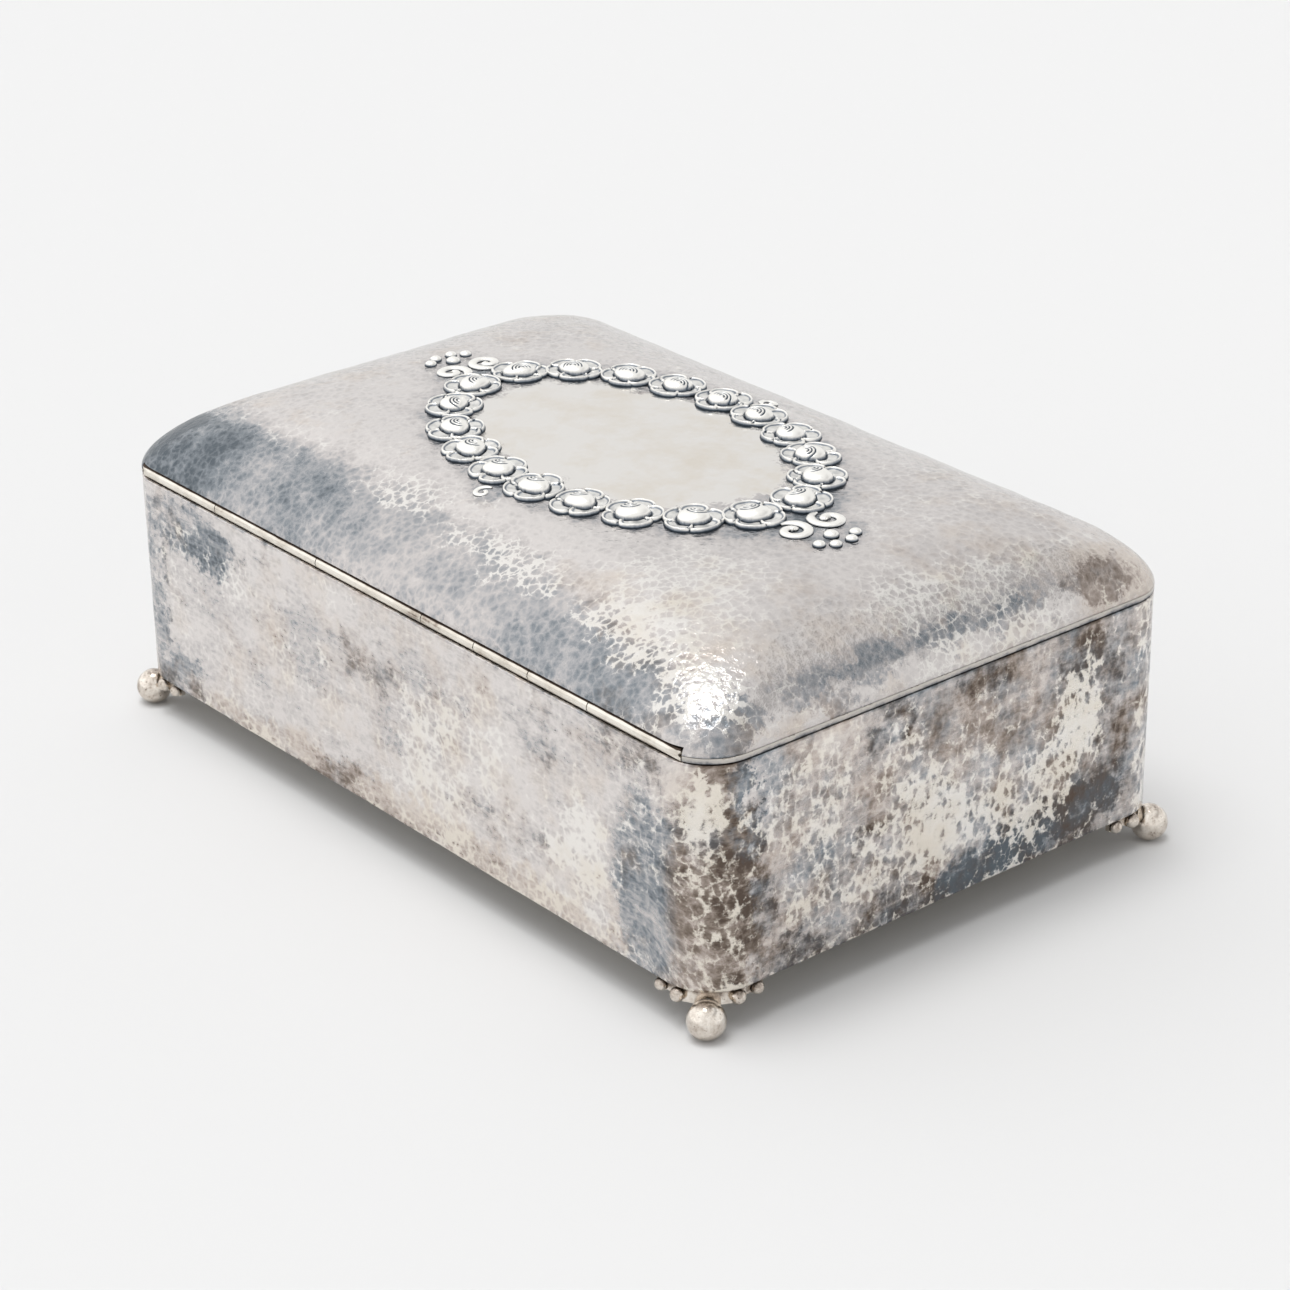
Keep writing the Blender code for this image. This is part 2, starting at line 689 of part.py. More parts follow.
def scroll(name, radius, turns, hand, finish):
    """A wire rolled into a spiral, about its own origin, starting at its outer end."""
    wire_radius = radius * SCROLL_WIRE_SHARE
    curve = bpy.data.curves.new(name, "CURVE")
    curve.dimensions = "3D"
    curve.bevel_depth = wire_radius
    curve.bevel_resolution = 1
    curve.render_resolution_u = 0
    curve.use_fill_caps = True
    spline = curve.splines.new("POLY")
    spline.points.add(SCROLL_POINTS - 1)
    outer = radius - wire_radius
    for index, point in enumerate(spline.points):
        along = index / (SCROLL_POINTS - 1)
        reach = outer * (1 - (1 - SCROLL_EYE_SHARE) * along ** SCROLL_TIGHTENING)
        angle = hand * 2 * math.pi * turns * along
        point.co = (reach * math.cos(angle), reach * math.sin(angle), wire_radius, 1)
    thing = bpy.data.objects.new(name, curve)
    curve.materials.append(finish)
    bpy.context.collection.objects.link(thing)
    return thing


def make_sprays(finish):
    """Scroll pairs and grains beyond the garland's ends, single scrolls beyond its sides."""
    for end_name, end in (("left", 1), ("right", -1)):
        for number, side in ((1, 1), (2, -1)):
            name = f"spray_scroll_{end_name}_{number}"
            wire = scroll(name, END_SCROLL_RADIUS, END_SCROLL_TURNS, side * end, finish)
            spin = math.pi if end > 0 else 0
            seat_on_lid(wire, end * END_SCROLL_PLACE, side * END_SCROLL_SPREAD, spin)
        places = [(SPRAY_GRAIN_PLACE, 0, SPRAY_GRAIN_RADIUS)]
        for side in (1, -1):
            places.append((NEAR_SEED_PLACE, side * END_SCROLL_SPREAD, SPRAY_SEED_RADIUS))
            places.append((FAR_SEED_PLACE, side * FAR_SEED_SPREAD, SPRAY_SEED_RADIUS))
        for number, (x, y, radius) in enumerate(places, 1):
            piece = add_object(f"spray_grain_{end_name}_{number}", grain(radius), finish)
            seat_on_lid(piece, end * x, y)
    for side_name, side in (("back", 1), ("front", -1)):
        name = f"side_scroll_{side_name}"
        wire = scroll(name, SIDE_SCROLL_RADIUS, SIDE_SCROLL_TURNS, side, finish)
        seat_on_lid(wire, 0, side * SIDE_SCROLL_PLACE, -side * math.pi / 2)


def main():
    """Build the casket from the feet up."""
    clear_scene()
    hammered = silver("hammered_silver", (0.56, 0.53, 0.50), 0.42)
    plain = silver("plain_silver", (0.50, 0.48, 0.45), 0.32)
    chased = silver("chased_silver", (0.70, 0.68, 0.63), 0.28)
    foot = silver("foot_silver", (0.45, 0.41, 0.37), 0.30)
    make_body(hammered)
    make_bezel(plain)
    slot = make_slot_cutter()
    make_lid(hammered, slot)
    make_hinge(plain, make_end_facing())
    make_bearers(plain)
    make_feet(foot)
    make_garland(chased)
    make_sprays(chased)


main()
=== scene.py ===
"""The silver casket as photographed: planished and tarnished silver on a pale table."""
import math

import bmesh
import bpy
import numpy as np
from mathutils import Matrix, Vector, noise


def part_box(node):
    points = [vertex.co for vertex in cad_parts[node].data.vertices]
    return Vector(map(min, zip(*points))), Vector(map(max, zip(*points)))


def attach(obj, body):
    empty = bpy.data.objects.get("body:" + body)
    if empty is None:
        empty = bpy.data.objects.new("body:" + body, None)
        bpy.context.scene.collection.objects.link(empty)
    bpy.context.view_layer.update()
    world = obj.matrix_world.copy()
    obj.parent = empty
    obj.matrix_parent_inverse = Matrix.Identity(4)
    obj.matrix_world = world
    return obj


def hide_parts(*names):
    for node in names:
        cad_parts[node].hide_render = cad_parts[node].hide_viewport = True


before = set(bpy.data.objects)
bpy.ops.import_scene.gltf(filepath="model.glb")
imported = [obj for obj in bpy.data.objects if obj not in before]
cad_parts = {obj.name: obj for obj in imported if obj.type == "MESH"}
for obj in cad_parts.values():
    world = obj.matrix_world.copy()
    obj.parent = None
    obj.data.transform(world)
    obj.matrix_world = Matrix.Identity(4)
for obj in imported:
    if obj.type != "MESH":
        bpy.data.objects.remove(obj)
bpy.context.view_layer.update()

# Camera: a long lens above the back right corner, fitted to the casket's edges in the photograph.
azimuth, elevation, roll = math.radians(230.726), math.radians(25.32), math.radians(-0.851)
back = Vector((
    math.sin(azimuth) * math.cos(elevation),
    -math.cos(azimuth) * math.cos(elevation),
    math.sin(elevation),
))
level = (-back).cross(Vector((0, 0, 1))).normalized()
rise = level.cross(-back)
side_axis = level * math.cos(roll) + rise * math.sin(roll)
up_axis = rise * math.cos(roll) - level * math.sin(roll)
camera_data = bpy.data.cameras.new("camera")
camera_data.lens = 100.77
camera_data.sensor_width = 36
camera_data.clip_start = 0.01
camera = bpy.data.objects.new("camera", camera_data)
camera.matrix_world = Matrix((side_axis, up_axis, back)).transposed().to_4x4()
aim, distance = Vector((-0.01102, 0.004584, 0.035)), 0.773928
camera.location = aim + back * distance
bpy.context.scene.collection.objects.link(camera)
bpy.context.scene.camera = camera
bpy.context.scene.view_settings.view_transform = "Standard"

# Table and studio: a matt white sweep under a soft overhead light, and a key light for the table, whose
# soft shadow falls to the right. The silver mirrors the white background, the lamp, a pale glow from
# behind and, as a dark streak, a flag beyond the right end.
def colour(code):
    """A linear colour from an sRGB hex code."""
    parts = [int(code[place:place + 2], 16) / 255 for place in (1, 3, 5)]
    return (*[part / 12.92 if part <= 0.04045 else ((part + 0.055) / 1.055) ** 2.4 for part in parts], 1)


def add(tree, kind, inputs=None, stops=None, **settings):
    """Add one shader node. An input is a value, a socket or a node, whose first output is taken."""
    made = tree.nodes.new("ShaderNode" + kind)
    for name, value in settings.items():
        setattr(made, name, value)
    for name, value in (inputs or {}).items():
        if isinstance(value, bpy.types.Node):
            value = next(socket for socket in value.outputs if socket.enabled)
        if isinstance(value, bpy.types.NodeSocket):
            tree.links.new(value, made.inputs[name])
        else:
            made.inputs[name].default_value = value
    if stops:
        while len(made.color_ramp.elements) < len(stops):
            made.color_ramp.elements.new(0.5)
        for element, (place, code) in zip(made.color_ramp.elements, stops):
            element.position = place
            element.color = colour(code)
    return made


table_mesh = bpy.data.meshes.new("table")
table_mesh.from_pydata([(-6, -6, 0), (6, -6, 0), (6, 6, 0), (-6, 6, 0)], [], [(0, 1, 2, 3)])
table = bpy.data.objects.new("table", table_mesh)
bpy.context.scene.collection.objects.link(table)
table_paint = bpy.data.materials.new("matt_white_sweep")
table_paint.use_nodes = True
tree = table_paint.node_tree
matt = add(tree, "BsdfDiffuse", {"Color": colour("#d0d0d0")})
tree.links.new(matt.outputs[0], tree.nodes["Material Output"].inputs["Surface"])
table_mesh.materials.append(table_paint)

key_data = bpy.data.lights.new("key_light", "SUN")
key_data.energy = 1.5
key_data.angle = math.radians(38)
key_light = bpy.data.objects.new("key_light", key_data)
key_light.rotation_euler = Vector((0.05, 0.17, 1)).to_track_quat("Z", "Y").to_euler()
key_light.visible_glossy = False
bpy.context.scene.collection.objects.link(key_light)

world = bpy.data.worlds.new("studio")
bpy.context.scene.world = world
world.use_nodes = True
sky = world.node_tree
sky.nodes.clear()
where = add(sky, "TexCoord").outputs["Generated"]
toward_lamp = Vector((0.14, 0.03, 0.99)).normalized()
lamp = add(sky, "VectorMath", {0: where, 1: toward_lamp}, operation="DOT_PRODUCT").outputs["Value"]
lamp = add(sky, "MapRange", {0: lamp, 1: 0.986, 2: 0.9992}, interpolation_type="SMOOTHSTEP")
flat = add(sky, "VectorMath", {0: where, 1: (1, 1, 0)}, operation="MULTIPLY")
flat = add(sky, "VectorMath", {0: flat}, operation="NORMALIZE")
flag_side = add(sky, "VectorMath", {0: flat, 1: (-0.55, -0.83, 0)}, operation="DOT_PRODUCT")
flag_side = flag_side.outputs["Value"]
flag_side = add(sky, "MapRange", {0: flag_side, 1: 0.55, 2: 0.90}, interpolation_type="SMOOTHSTEP")
flag_height = add(sky, "SeparateXYZ", {0: where}).outputs["Z"]
flag_height = add(sky, "Math", {0: flag_height, 1: 0.70}, operation="SUBTRACT")
flag_height = add(sky, "Math", {0: flag_height}, operation="ABSOLUTE")
flag_height = add(sky, "MapRange", {0: flag_height, 1: 0.11, 2: 0.02}, interpolation_type="SMOOTHSTEP")
flag = add(sky, "Math", {0: flag_side, 1: flag_height}, operation="MULTIPLY")
toward_glow = Vector((0.70, 0.55, 0.48)).normalized()
glow = add(sky, "VectorMath", {0: where, 1: toward_glow}, operation="DOT_PRODUCT").outputs["Value"]
glow = add(sky, "MapRange", {0: glow, 1: 0.2, 2: 1.0}, interpolation_type="SMOOTHSTEP")


def studio(plain_strength, glow_strength):
    """The studio's strength by direction: a plain white, with the lamp, the glow and the flag."""
    total = plain_strength
    for part, amount in ((lamp, 9.0), (glow, glow_strength), (flag, -0.50)):
        total = add(sky, "Math", {0: part, 1: amount, 2: total}, operation="MULTIPLY_ADD")
    return total


path = add(sky, "LightPath").outputs
light = add(sky, "Background", {"Color": (1, 1, 1, 1), "Strength": studio(0.71, 0.45)})
mirrored = add(sky, "Mix", {0: path["Is Camera Ray"], 2: studio(1.0, 0.30), 3: 1.0}, data_type="FLOAT")
plain = add(sky, "Background", {"Color": (1, 1, 1, 1), "Strength": mirrored})
seen = add(sky, "Math", {0: path["Is Camera Ray"], 1: path["Is Glossy Ray"]}, operation="MAXIMUM")
seen = add(sky, "Math", {0: seen, 1: path["Is Transmission Ray"]}, operation="MAXIMUM")
shown = add(sky, "MixShader", {0: seen, 1: light, 2: plain})
add(sky, "OutputWorld", {"Surface": shown})


# Body wall: one strip of silver sheet 1 mm thick, planished all over with a small domed hammer, its
# edges rubbed round. The tarnish lies in the hammer marks, and polishing has left the ridges pale.
def rounded_path(half_length, half_width, radius, arc_steps=16, long_steps=96, short_steps=60):
    """Points of a rounded rectangle with points along its straight sides too, anticlockwise."""
    radius = min(radius, 0.98 * half_length, 0.98 * half_width)
    points = []
    corners = ((1, 1, long_steps), (-1, 1, short_steps), (-1, -1, long_steps), (1, -1, short_steps))
    for corner, (side_x, side_y, steps) in enumerate(corners):
        for step in range(arc_steps + 1):
            angle = math.pi / 2 * (corner + step / arc_steps)
            points.append((
                side_x * (half_length - radius) + radius * math.cos(angle),
                side_y * (half_width - radius) + radius * math.sin(angle),
            ))
        next_x, next_y, _ = corners[(corner + 1) % 4]
        angle = math.pi / 2 * (corner + 1)
        end = (
            next_x * (half_length - radius) + radius * math.cos(angle),
            next_y * (half_width - radius) + radius * math.sin(angle),
        )
        start = points[-1]
        for step in range(1, steps):
            points.append(tuple(a + (b - a) * step / steps for a, b in zip(start, end)))
    return points


def as_object(name, mesh, sharp):
    """An object of a mesh in the scene, smooth but for edges sharper than an angle in degrees."""
    mesh.shade_smooth()
    mesh.set_sharp_from_angle(angle=math.radians(sharp))
    thing = bpy.data.objects.new(name, mesh)
    bpy.context.scene.collection.objects.link(thing)
    return thing


def rings_to_mesh(name, rings, closed=True, sharp=40):
    """A mesh through rings that have as many points. Closed joins the last ring to the first."""
    shape = bmesh.new()
    made = [[shape.verts.new(point) for point in ring] for ring in rings]
    pairs = list(zip(made, made[1:])) + ([(made[-1], made[0])] if closed else [])
    count = len(made[0])
    for first, second in pairs:
        for index in range(count):
            after = (index + 1) % count
            shape.faces.new((first[index], first[after], second[after], second[index]))
    if not closed:
        shape.faces.new(made[0])
        shape.faces.new(made[-1])
    bmesh.ops.recalc_face_normals(shape, faces=shape.faces)
    mesh = bpy.data.meshes.new(name)
    shape.to_mesh(mesh)
    shape.free()
    return as_object(name, mesh, sharp)


def hammered(place, depth):
    """How far the planishing hammer has sunk the sheet at a place, in metres."""
    point = Vector(place) * 1000
    broad = noise.noise(point / 17.0)
    narrow = noise.noise(point / 6.5 + Vector((7, 3, 1)))
    return depth * (0.55 * broad + 0.45 * narrow)


def start_silver(name):
    """A new silver: its material, its node tree and the place on the casket in millimetres."""
    paint = bpy.data.materials.new(name)
    paint.use_nodes = True
    tree = paint.node_tree
    place = add(tree, "TexCoord").outputs["Object"]
    return paint, tree, add(tree, "VectorMath", {0: place, "Scale": 1000.0}, operation="SCALE")


def finish_silver(tree, tint, dull, relief, depth, strength=0.5):
    """Give the metal its colour, its roughness and a fine relief, whose depth is in metres."""
    shader = tree.nodes["Principled BSDF"]
    shader.inputs["Metallic"].default_value = 1.0
    tree.links.new(tint.outputs[0], shader.inputs["Base Color"])
    tree.links.new(dull.outputs[0], shader.inputs["Roughness"])
    bump = add(tree, "Bump", {"Height": relief, "Strength": strength, "Distance": depth})
    tree.links.new(bump.outputs[0], shader.inputs["Normal"])


def aged_silver(
    name, thick, slate, worn, browns, tone, streak, seams, net, grain, gloss,
    shade=1.0, tall=None, extra=None,
):
    """Planished silver under a thin mauve-grey film, with slate patches and places rubbed pale.

    A row of thick, slate, worn or browns is (x, y, z, radius x, radius y, radius z, amount), in
    millimetres. Tone is the film's thickness everywhere, and streak how fine the brushed streaks
    are along each axis. A seam is (height from, height to, film, wear), which grow from one height
    to the other. Net is how clearly the ridges are rubbed pale, grain how ragged the rubbing is,
    and gloss the range of roughness. Shade scales the whole colour down: painted shade, standing in
    for dimmer light mirrored by the part. Tall is (x from, x to, middle height, factor): from one x
    to the other, the hammer marks are drawn out in height. Extra changes the film and the rubbing
    for one part, and says how much of the relief is kept.
    """
    paint, tree, mm = start_silver(name)
    drift = add(tree, "TexNoise", {"Vector": mm, "Scale": 0.16, "Detail": 6.0, "Roughness": 0.72})
    drift = add(tree, "VectorMath", {0: drift.outputs["Color"], 1: (0.5, 0.5, 0.5)}, operation="SUBTRACT")
    drift = add(tree, "VectorMath", {0: drift, "Scale": 20.0}, operation="SCALE")
    torn = add(tree, "VectorMath", {0: mm, 1: drift}, operation="ADD")
    level = mm
    if tall:
        start, end, middle, factor = tall
        squeeze = add(tree, "SeparateXYZ", {0: mm})
        squeeze = add(tree, "MapRange", {0: squeeze, 1: start, 2: end, 3: 1.0, 4: factor})
        squeeze = add(tree, "CombineXYZ", {0: 1.0, 1: 1.0, 2: squeeze})
        level = add(tree, "VectorMath", {0: mm, 1: (0.0, 0.0, middle)}, operation="SUBTRACT")
        level = add(tree, "VectorMath", {0: level, 1: squeeze}, operation="MULTIPLY")
    streaked = add(tree, "VectorMath", {0: level, 1: streak}, operation="MULTIPLY")

    def gather(rows, start, space=torn):
        """The sum of soft patches at their places, with ragged edges unless the space is even."""
        total = start
        for x, y, z, size_x, size_y, size_z, amount in rows:
            near = add(tree, "Mapping", {
                "Vector": space, "Location": (x, y, z), "Scale": (size_x, size_y, size_z),
            }, vector_type="TEXTURE")
            spot = add(tree, "TexGradient", {"Vector": near}, gradient_type="SPHERICAL").outputs["Fac"]
            spot = add(tree, "MapRange", {0: spot, 1: 0.0, 2: 0.5}, interpolation_type="SMOOTHSTEP")
            total = add(tree, "Math", {0: spot, 1: amount, 2: total}, operation="MULTIPLY_ADD")
        return total

    def speckle(scale, detail, roughness, amount, start, space=mm):
        """Noise about nothing, times an amount, on top of a start."""
        cloud = add(tree, "TexNoise", {
            "Vector": space, "Scale": scale, "Detail": detail, "Roughness": roughness,
        })
        start = add(tree, "Math", {0: start, 1: amount / 2}, operation="SUBTRACT")
        return add(tree, "Math", {0: cloud.outputs["Fac"], 1: amount, 2: start}, operation="MULTIPLY_ADD")

    # hammer marks: round pits 2 to 3 mm apart with pale worn ridges between them
    bent = add(tree, "TexNoise", {"Vector": mm, "Scale": 0.45, "Detail": 4.0, "Roughness": 0.6})
    bent = add(tree, "VectorMath", {0: bent.outputs["Color"], "Scale": 2.6}, operation="SCALE")
    bent = add(tree, "VectorMath", {0: level, 1: bent}, operation="ADD")
    pits = add(tree, "TexVoronoi", {"Vector": bent, "Scale": 0.50}, feature="F1")
    rims = add(tree, "TexVoronoi", {"Vector": bent, "Scale": 0.50}, feature="DISTANCE_TO_EDGE")
    ridge = add(tree, "MapRange", {0: rims.outputs["Distance"], 1: 0.30, 2: 0.0, 3: 0.0, 4: 0.55})
    apart = add(tree, "MapRange", {0: pits.outputs["Distance"], 1: 0.20, 2: 0.75, 3: 0.0, 4: 0.45})
    ridge = add(tree, "Math", {0: ridge, 1: apart}, operation="ADD")

    # the film: mauve to slate, thicker in the pits, in soft drifts and fine brushed streaks
    dark = speckle(0.16, 8.0, 0.68, 1.10 * grain, gather(slate, 0.03))
    dark = speckle(0.50, 5.0, 0.75, 0.50 * grain, dark, streaked)
    dark = add(tree, "MapRange", {0: dark, 1: 0.12, 2: 0.58, 4: 0.54}, interpolation_type="SMOOTHSTEP")
    film = speckle(0.050, 3.0, 0.60, 0.05 + 0.70 * grain, gather(thick, tone, mm))
    film = speckle(0.14, 8.0, 0.72, 0.15 + 1.05 * grain, film, streaked)
    film = speckle(0.70, 6.0, 0.80, 1.10 * grain, film, streaked)
    film = add(tree, "Math", {0: film, 1: dark}, operation="ADD")
    film = add(tree, "Math", {0: ridge, 1: -0.22, 2: film}, operation="MULTIPLY_ADD")
    height = add(tree, "SeparateXYZ", {0: mm}).outputs["Z"]
    edges = 0.0
    for start, end, amount, wear in seams:
        seam = add(tree, "MapRange", {0: height, 1: start, 2: end})
        film = add(tree, "Math", {0: seam, 1: amount, 2: film}, operation="MULTIPLY_ADD")
        edges = add(tree, "Math", {0: seam, 1: wear, 2: edges}, operation="MULTIPLY_ADD")
    # where it is rubbed off: first from the ridges, then from the pits too
    bare = speckle(0.085, 6.0, 0.68, 1.8, gather(worn, 0.12))
    bare = speckle(0.30, 8.0, 0.72, 2.1 * grain, bare)
    kept = 1.0
    if extra:
        film, bare, kept = extra(tree, torn, film, bare)
    bare = speckle(0.9, 5.0, 0.75, 1.1 * grain, bare, streaked)
    bare = add(tree, "Math", {0: bare, 1: edges}, operation="ADD")
    depth = add(tree, "Math", {0: ridge, 1: 0.5}, operation="SUBTRACT")
    rubbed = add(tree, "Math", {0: depth, 1: net, 2: bare}, operation="MULTIPLY_ADD")
    rubbed = add(tree, "MapRange", {0: rubbed, 1: 0.42, 2: 0.86, 4: 0.87}, interpolation_type="SMOOTHSTEP")

    hue = speckle(0.08, 4.0, 0.65, 4.0, gather(browns, 0.20))
    hue = add(tree, "Math", {0: hue, 1: 0.0}, operation="ADD", use_clamp=True)
    cool = add(tree, "ValToRGB", {0: film}, stops=[
        (0.0, "#e6e1de"), (0.30, "#d2cdcb"), (0.52, "#b6b6b8"), (0.75, "#8f959b"), (1.0, "#636b72"),
    ])
    warm = add(tree, "ValToRGB", {0: film}, stops=[
        (0.0, "#e0d6cd"), (0.30, "#cbc0b8"), (0.52, "#a99d95"), (0.75, "#877b71"), (1.0, "#5f534b"),
    ])
    tint = add(tree, "Mix", {0: hue, 6: cool, 7: warm}, data_type="RGBA")
    clean = add(tree, "Mix", {0: hue, 6: colour("#f5f2ed"), 7: colour("#eee7db")}, data_type="RGBA")
    tint = add(tree, "Mix", {0: rubbed, 6: tint.outputs[2], 7: clean.outputs[2]}, data_type="RGBA")
    # painted shade: the whole colour scaled down by a factor
    tint = add(tree, "VectorMath", {0: tint.outputs[2], "Scale": shade}, operation="SCALE")
    dull = add(tree, "MapRange", {0: film, 1: 0.1, 2: 0.9, 3: gloss[0], 4: gloss[1]})
    dull = add(tree, "Math", {0: rubbed, 1: -0.06, 2: dull}, operation="MULTIPLY_ADD")
    grit = add(tree, "TexNoise", {"Vector": mm, "Scale": 1.6, "Detail": 3.0})
    dish = pits.outputs["Distance"]
    dish = add(tree, "Math", {0: grit.outputs["Fac"], 1: 0.4, 2: dish}, operation="MULTIPLY_ADD")
    dish = add(tree, "Math", {0: dish, 1: kept}, operation="MULTIPLY")
    finish_silver(tree, tint, dull, dish, depth=0.00022, strength=0.8)
    return paint


wall_low, wall_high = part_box("body_wall")
half_length, half_width = wall_high.x, wall_high.y
corner_radius, sheet, edge = 0.0112, 0.0010, 0.0003
hammer_depth, hammer_set, wall_rows = 0.00022, 0.00010, 26
straight_low, straight = wall_low.z + edge * 2, wall_high.z - wall_low.z - edge * 4
profile = [(edge + sheet * 0.4, wall_low.z)]
profile += [(edge * (1 - math.sin(a)), wall_low.z + edge * (1 - math.cos(a))) for a in (0.4, 0.9, 1.4)]
profile += [(0, straight_low + straight * row / wall_rows) for row in range(wall_rows + 1)]
profile += [(edge * (1 - math.cos(a)), wall_high.z - edge * (1 - math.sin(a))) for a in (0.2, 0.7, 1.2)]
profile += [(sheet * 0.9, wall_high.z), (sheet, wall_high.z - edge)]
profile += [(sheet, wall_low.z + edge), (sheet * 0.9, wall_low.z)]
wall_rings = []
for inset, height in profile:
    path = rounded_path(half_length - inset, half_width - inset, corner_radius - inset)
    ring = []
    for x, y in path:
        dip = 0.0
        if inset < sheet / 2:
            dip = hammered((x, y, height), hammer_depth) - hammer_set
        out = Vector((
            max(abs(x) - half_length + corner_radius, 0) * (1 if x > 0 else -1),
            max(abs(y) - half_width + corner_radius, 0) * (1 if y > 0 else -1),
        )).normalized()
        ring.append((x + out.x * min(dip, 0), y + out.y * min(dip, 0), height))
    wall_rings.append(ring)
casket_wall = rings_to_mesh("casket_wall", wall_rings)
casket_wall.data.materials.append(aged_silver(
    "planished_tarnished_silver_wall",
    thick=[
        # the rows at x -100 darken the whole -X end: painted shade for the shadowed table that this end
        # mirrors, over a thicker film
        (-100, 0, 32, 10, 90, 60, 0.36), (-100, -46, 32, 12, 40, 60, 0.12),
        (40, 64, 40, 90, 9, 16, 0.06),
    ],
    slate=[
        (73, 64, 50, 24, 9, 9, 0.42), (90, 64, 29, 6, 9, 28, 0.40), (59, 64, 47, 19, 9, 8, 0.20),
        (44, 64, 55, 11, 9, 5, 0.25), (36, 64, 46, 12, 9, 6, 0.22), (11, 64, 43, 17, 9, 8, 0.26),
        (80, 64, 13, 15, 9, 10, 0.42), (23, 64, 11, 16, 9, 10, 0.26), (-28, 64, 55, 14, 9, 8, 0.20),
        (-48, 64, 49, 13, 9, 11, 0.28), (-77, 64, 56, 14, 9, 7, 0.34), (-82, 64, 28, 14, 9, 30, 0.46),
        (-38, 64, 24, 25, 9, 10, 0.20), (-100, 53, 53, 9, 4, 7, 0.75), (-100, 54, 41, 9, 9, 9, 0.45),
        (-100, 50, 23, 9, 6, 14, 0.42), (-100, 15, 53, 9, 10, 7, 0.36), (-100, -9, 56, 9, 10, 7, 0.32),
        (-100, -40, 51, 9, 15, 7, 0.30), (-100, -47, 31, 9, 7, 23, 0.26), (-100, -12, 12, 9, 20, 10, 0.45),
        (-100, -32, 16, 9, 21, 8, 0.50), (-100, 11, 11, 9, 21, 8, 0.36), (-100, 40, 12, 9, 11, 6, 0.42),
        (-100, 21, 30, 9, 7, 6, 0.26), (-98, 61, 26, 12, 12, 60, 0.40), (-101, -61, 34, 9, 7, 60, 0.04),
    ],
    worn=[
        (55, 64, 44, 13, 9, 9, 0.30), (31, 64, 32, 16, 9, 11, 0.25), (-18, 64, 34, 28, 9, 17, 0.34),
        (-37, 64, 40, 7, 9, 9, 0.30), (-64, 64, 29, 9, 9, 14, 0.62), (-55, 64, 24, 5, 9, 5, 0.70),
        (-12, 64, 16, 25, 9, 11, 0.35), (57, 64, 9, 26, 9, 13, 0.34), (-56, 64, 9, 36, 9, 12, 0.34),
        (-97, 61, 26, 11, 11, 50, 0.28), (-97, 64, 48, 9, 9, 13, 0.34), (-100, -37, 38, 9, 10, 15, 0.70),
        (-100, -21, 26, 9, 27, 13, 0.52), (-100, 5, 29, 9, 12, 17, 0.40), (-100, 12, 44, 9, 10, 12, 0.34),
        (-100, 37, 44, 9, 18, 15, 0.44), (-100, 23, 25, 9, 29, 12, 0.40), (-100, -58, 34, 9, 7, 50, 0.30),
    ],
    browns=[
        # the second row browns the whole -X end and darkens it, partly as painted shade for the shadowed
        # table it mirrors
        (-97, 61, 26, 13, 13, 60, 0.9), (-100, 0, 32, 9, 90, 60, 0.4), (-82, 64, 26, 14, 9, 30, -0.5),
        (-100, -12, 12, 9, 22, 9, -0.5), (-100, 52, 52, 9, 8, 10, -0.5), (80, 64, 40, 30, 9, 30, -0.4),
        (0, 64, 11, 110, 9, 7, 0.9),
    ],
    tone=0.23,
    streak=(0.36, 0.36, 1.4),
    seams=[(57.3, 57.95, 0.35, -0.3), (15.0, 10.5, 0.12, 0.12), (9.75, 9.45, 0.15, 0.2)],
    net=0.68,
    grain=1.0,
    gloss=(0.20, 0.38),
    tall=(-82, -98, 34, 0.62),
))
casket_middle = (wall_low + wall_high) / 2
inside_silver = aged_silver(
    "planished_tarnished_silver_inside", thick=[], slate=[], worn=[], browns=[],
    tone=0.34, streak=(0.7, 0.7, 0.7), seams=[], net=0.5, grain=0.5, gloss=(0.22, 0.38),
)


def line_inside(thing):
    """Give the faces that look towards the casket's middle the evenly dulled silver of the inside."""
    thing.data.materials.append(inside_silver)
    for face in thing.data.polygons:
        if face.normal.dot(casket_middle - face.center) > 0:
            face.material_index = 1


line_inside(casket_wall)
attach(casket_wall, "body")
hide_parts("body_wall")

# Base plate, bezel, bearers, pin and hinge tubes: plain drawn silver, dulled, with fine lines drawn
# along its length, brown stains, and darker brown above 60.45 mm, where the tubes run under the lid's
# edge.
drawn, tree, mm = start_silver("drawn_silver")
along = add(tree, "VectorMath", {0: mm, 1: (0.12, 0.8, 1.6)}, operation="MULTIPLY")
lines = add(tree, "TexNoise", {"Vector": along, "Scale": 1.6, "Detail": 5.0, "Roughness": 0.6})
stain = add(tree, "TexNoise", {"Vector": mm, "Scale": 0.12, "Detail": 5.0, "Roughness": 0.65})
stain = stain.outputs["Fac"]
mixed = add(tree, "Math", {0: lines.outputs["Fac"], 1: 0.45, 2: stain}, operation="MULTIPLY_ADD")
height = add(tree, "SeparateXYZ", {0: mm}).outputs["Z"]
tucked = add(tree, "MapRange", {0: height, 1: 60.45, 2: 60.62})
mixed = add(tree, "Math", {0: tucked, 1: 0.6, 2: mixed}, operation="MULTIPLY_ADD")
tint = add(tree, "ValToRGB", {0: mixed}, stops=[
    (0.66, "#ece7dd"), (0.84, "#d6cfc3"), (0.94, "#a89b8f"), (1.0, "#4a3f37"),
])
dull = add(tree, "MapRange", {0: mixed, 1: 0.4, 2: 1.0, 3: 0.26, 4: 0.44})
finish_silver(tree, tint, dull, lines.outputs["Fac"], depth=0.00005)
drawn_nodes = ["base_plate", "rim_bezel", "body_hinge_bearer", "lid_hinge_bearer", "hinge_pin"]
drawn_nodes += [f"hinge_knuckle_{number}" for number in range(1, 8)]
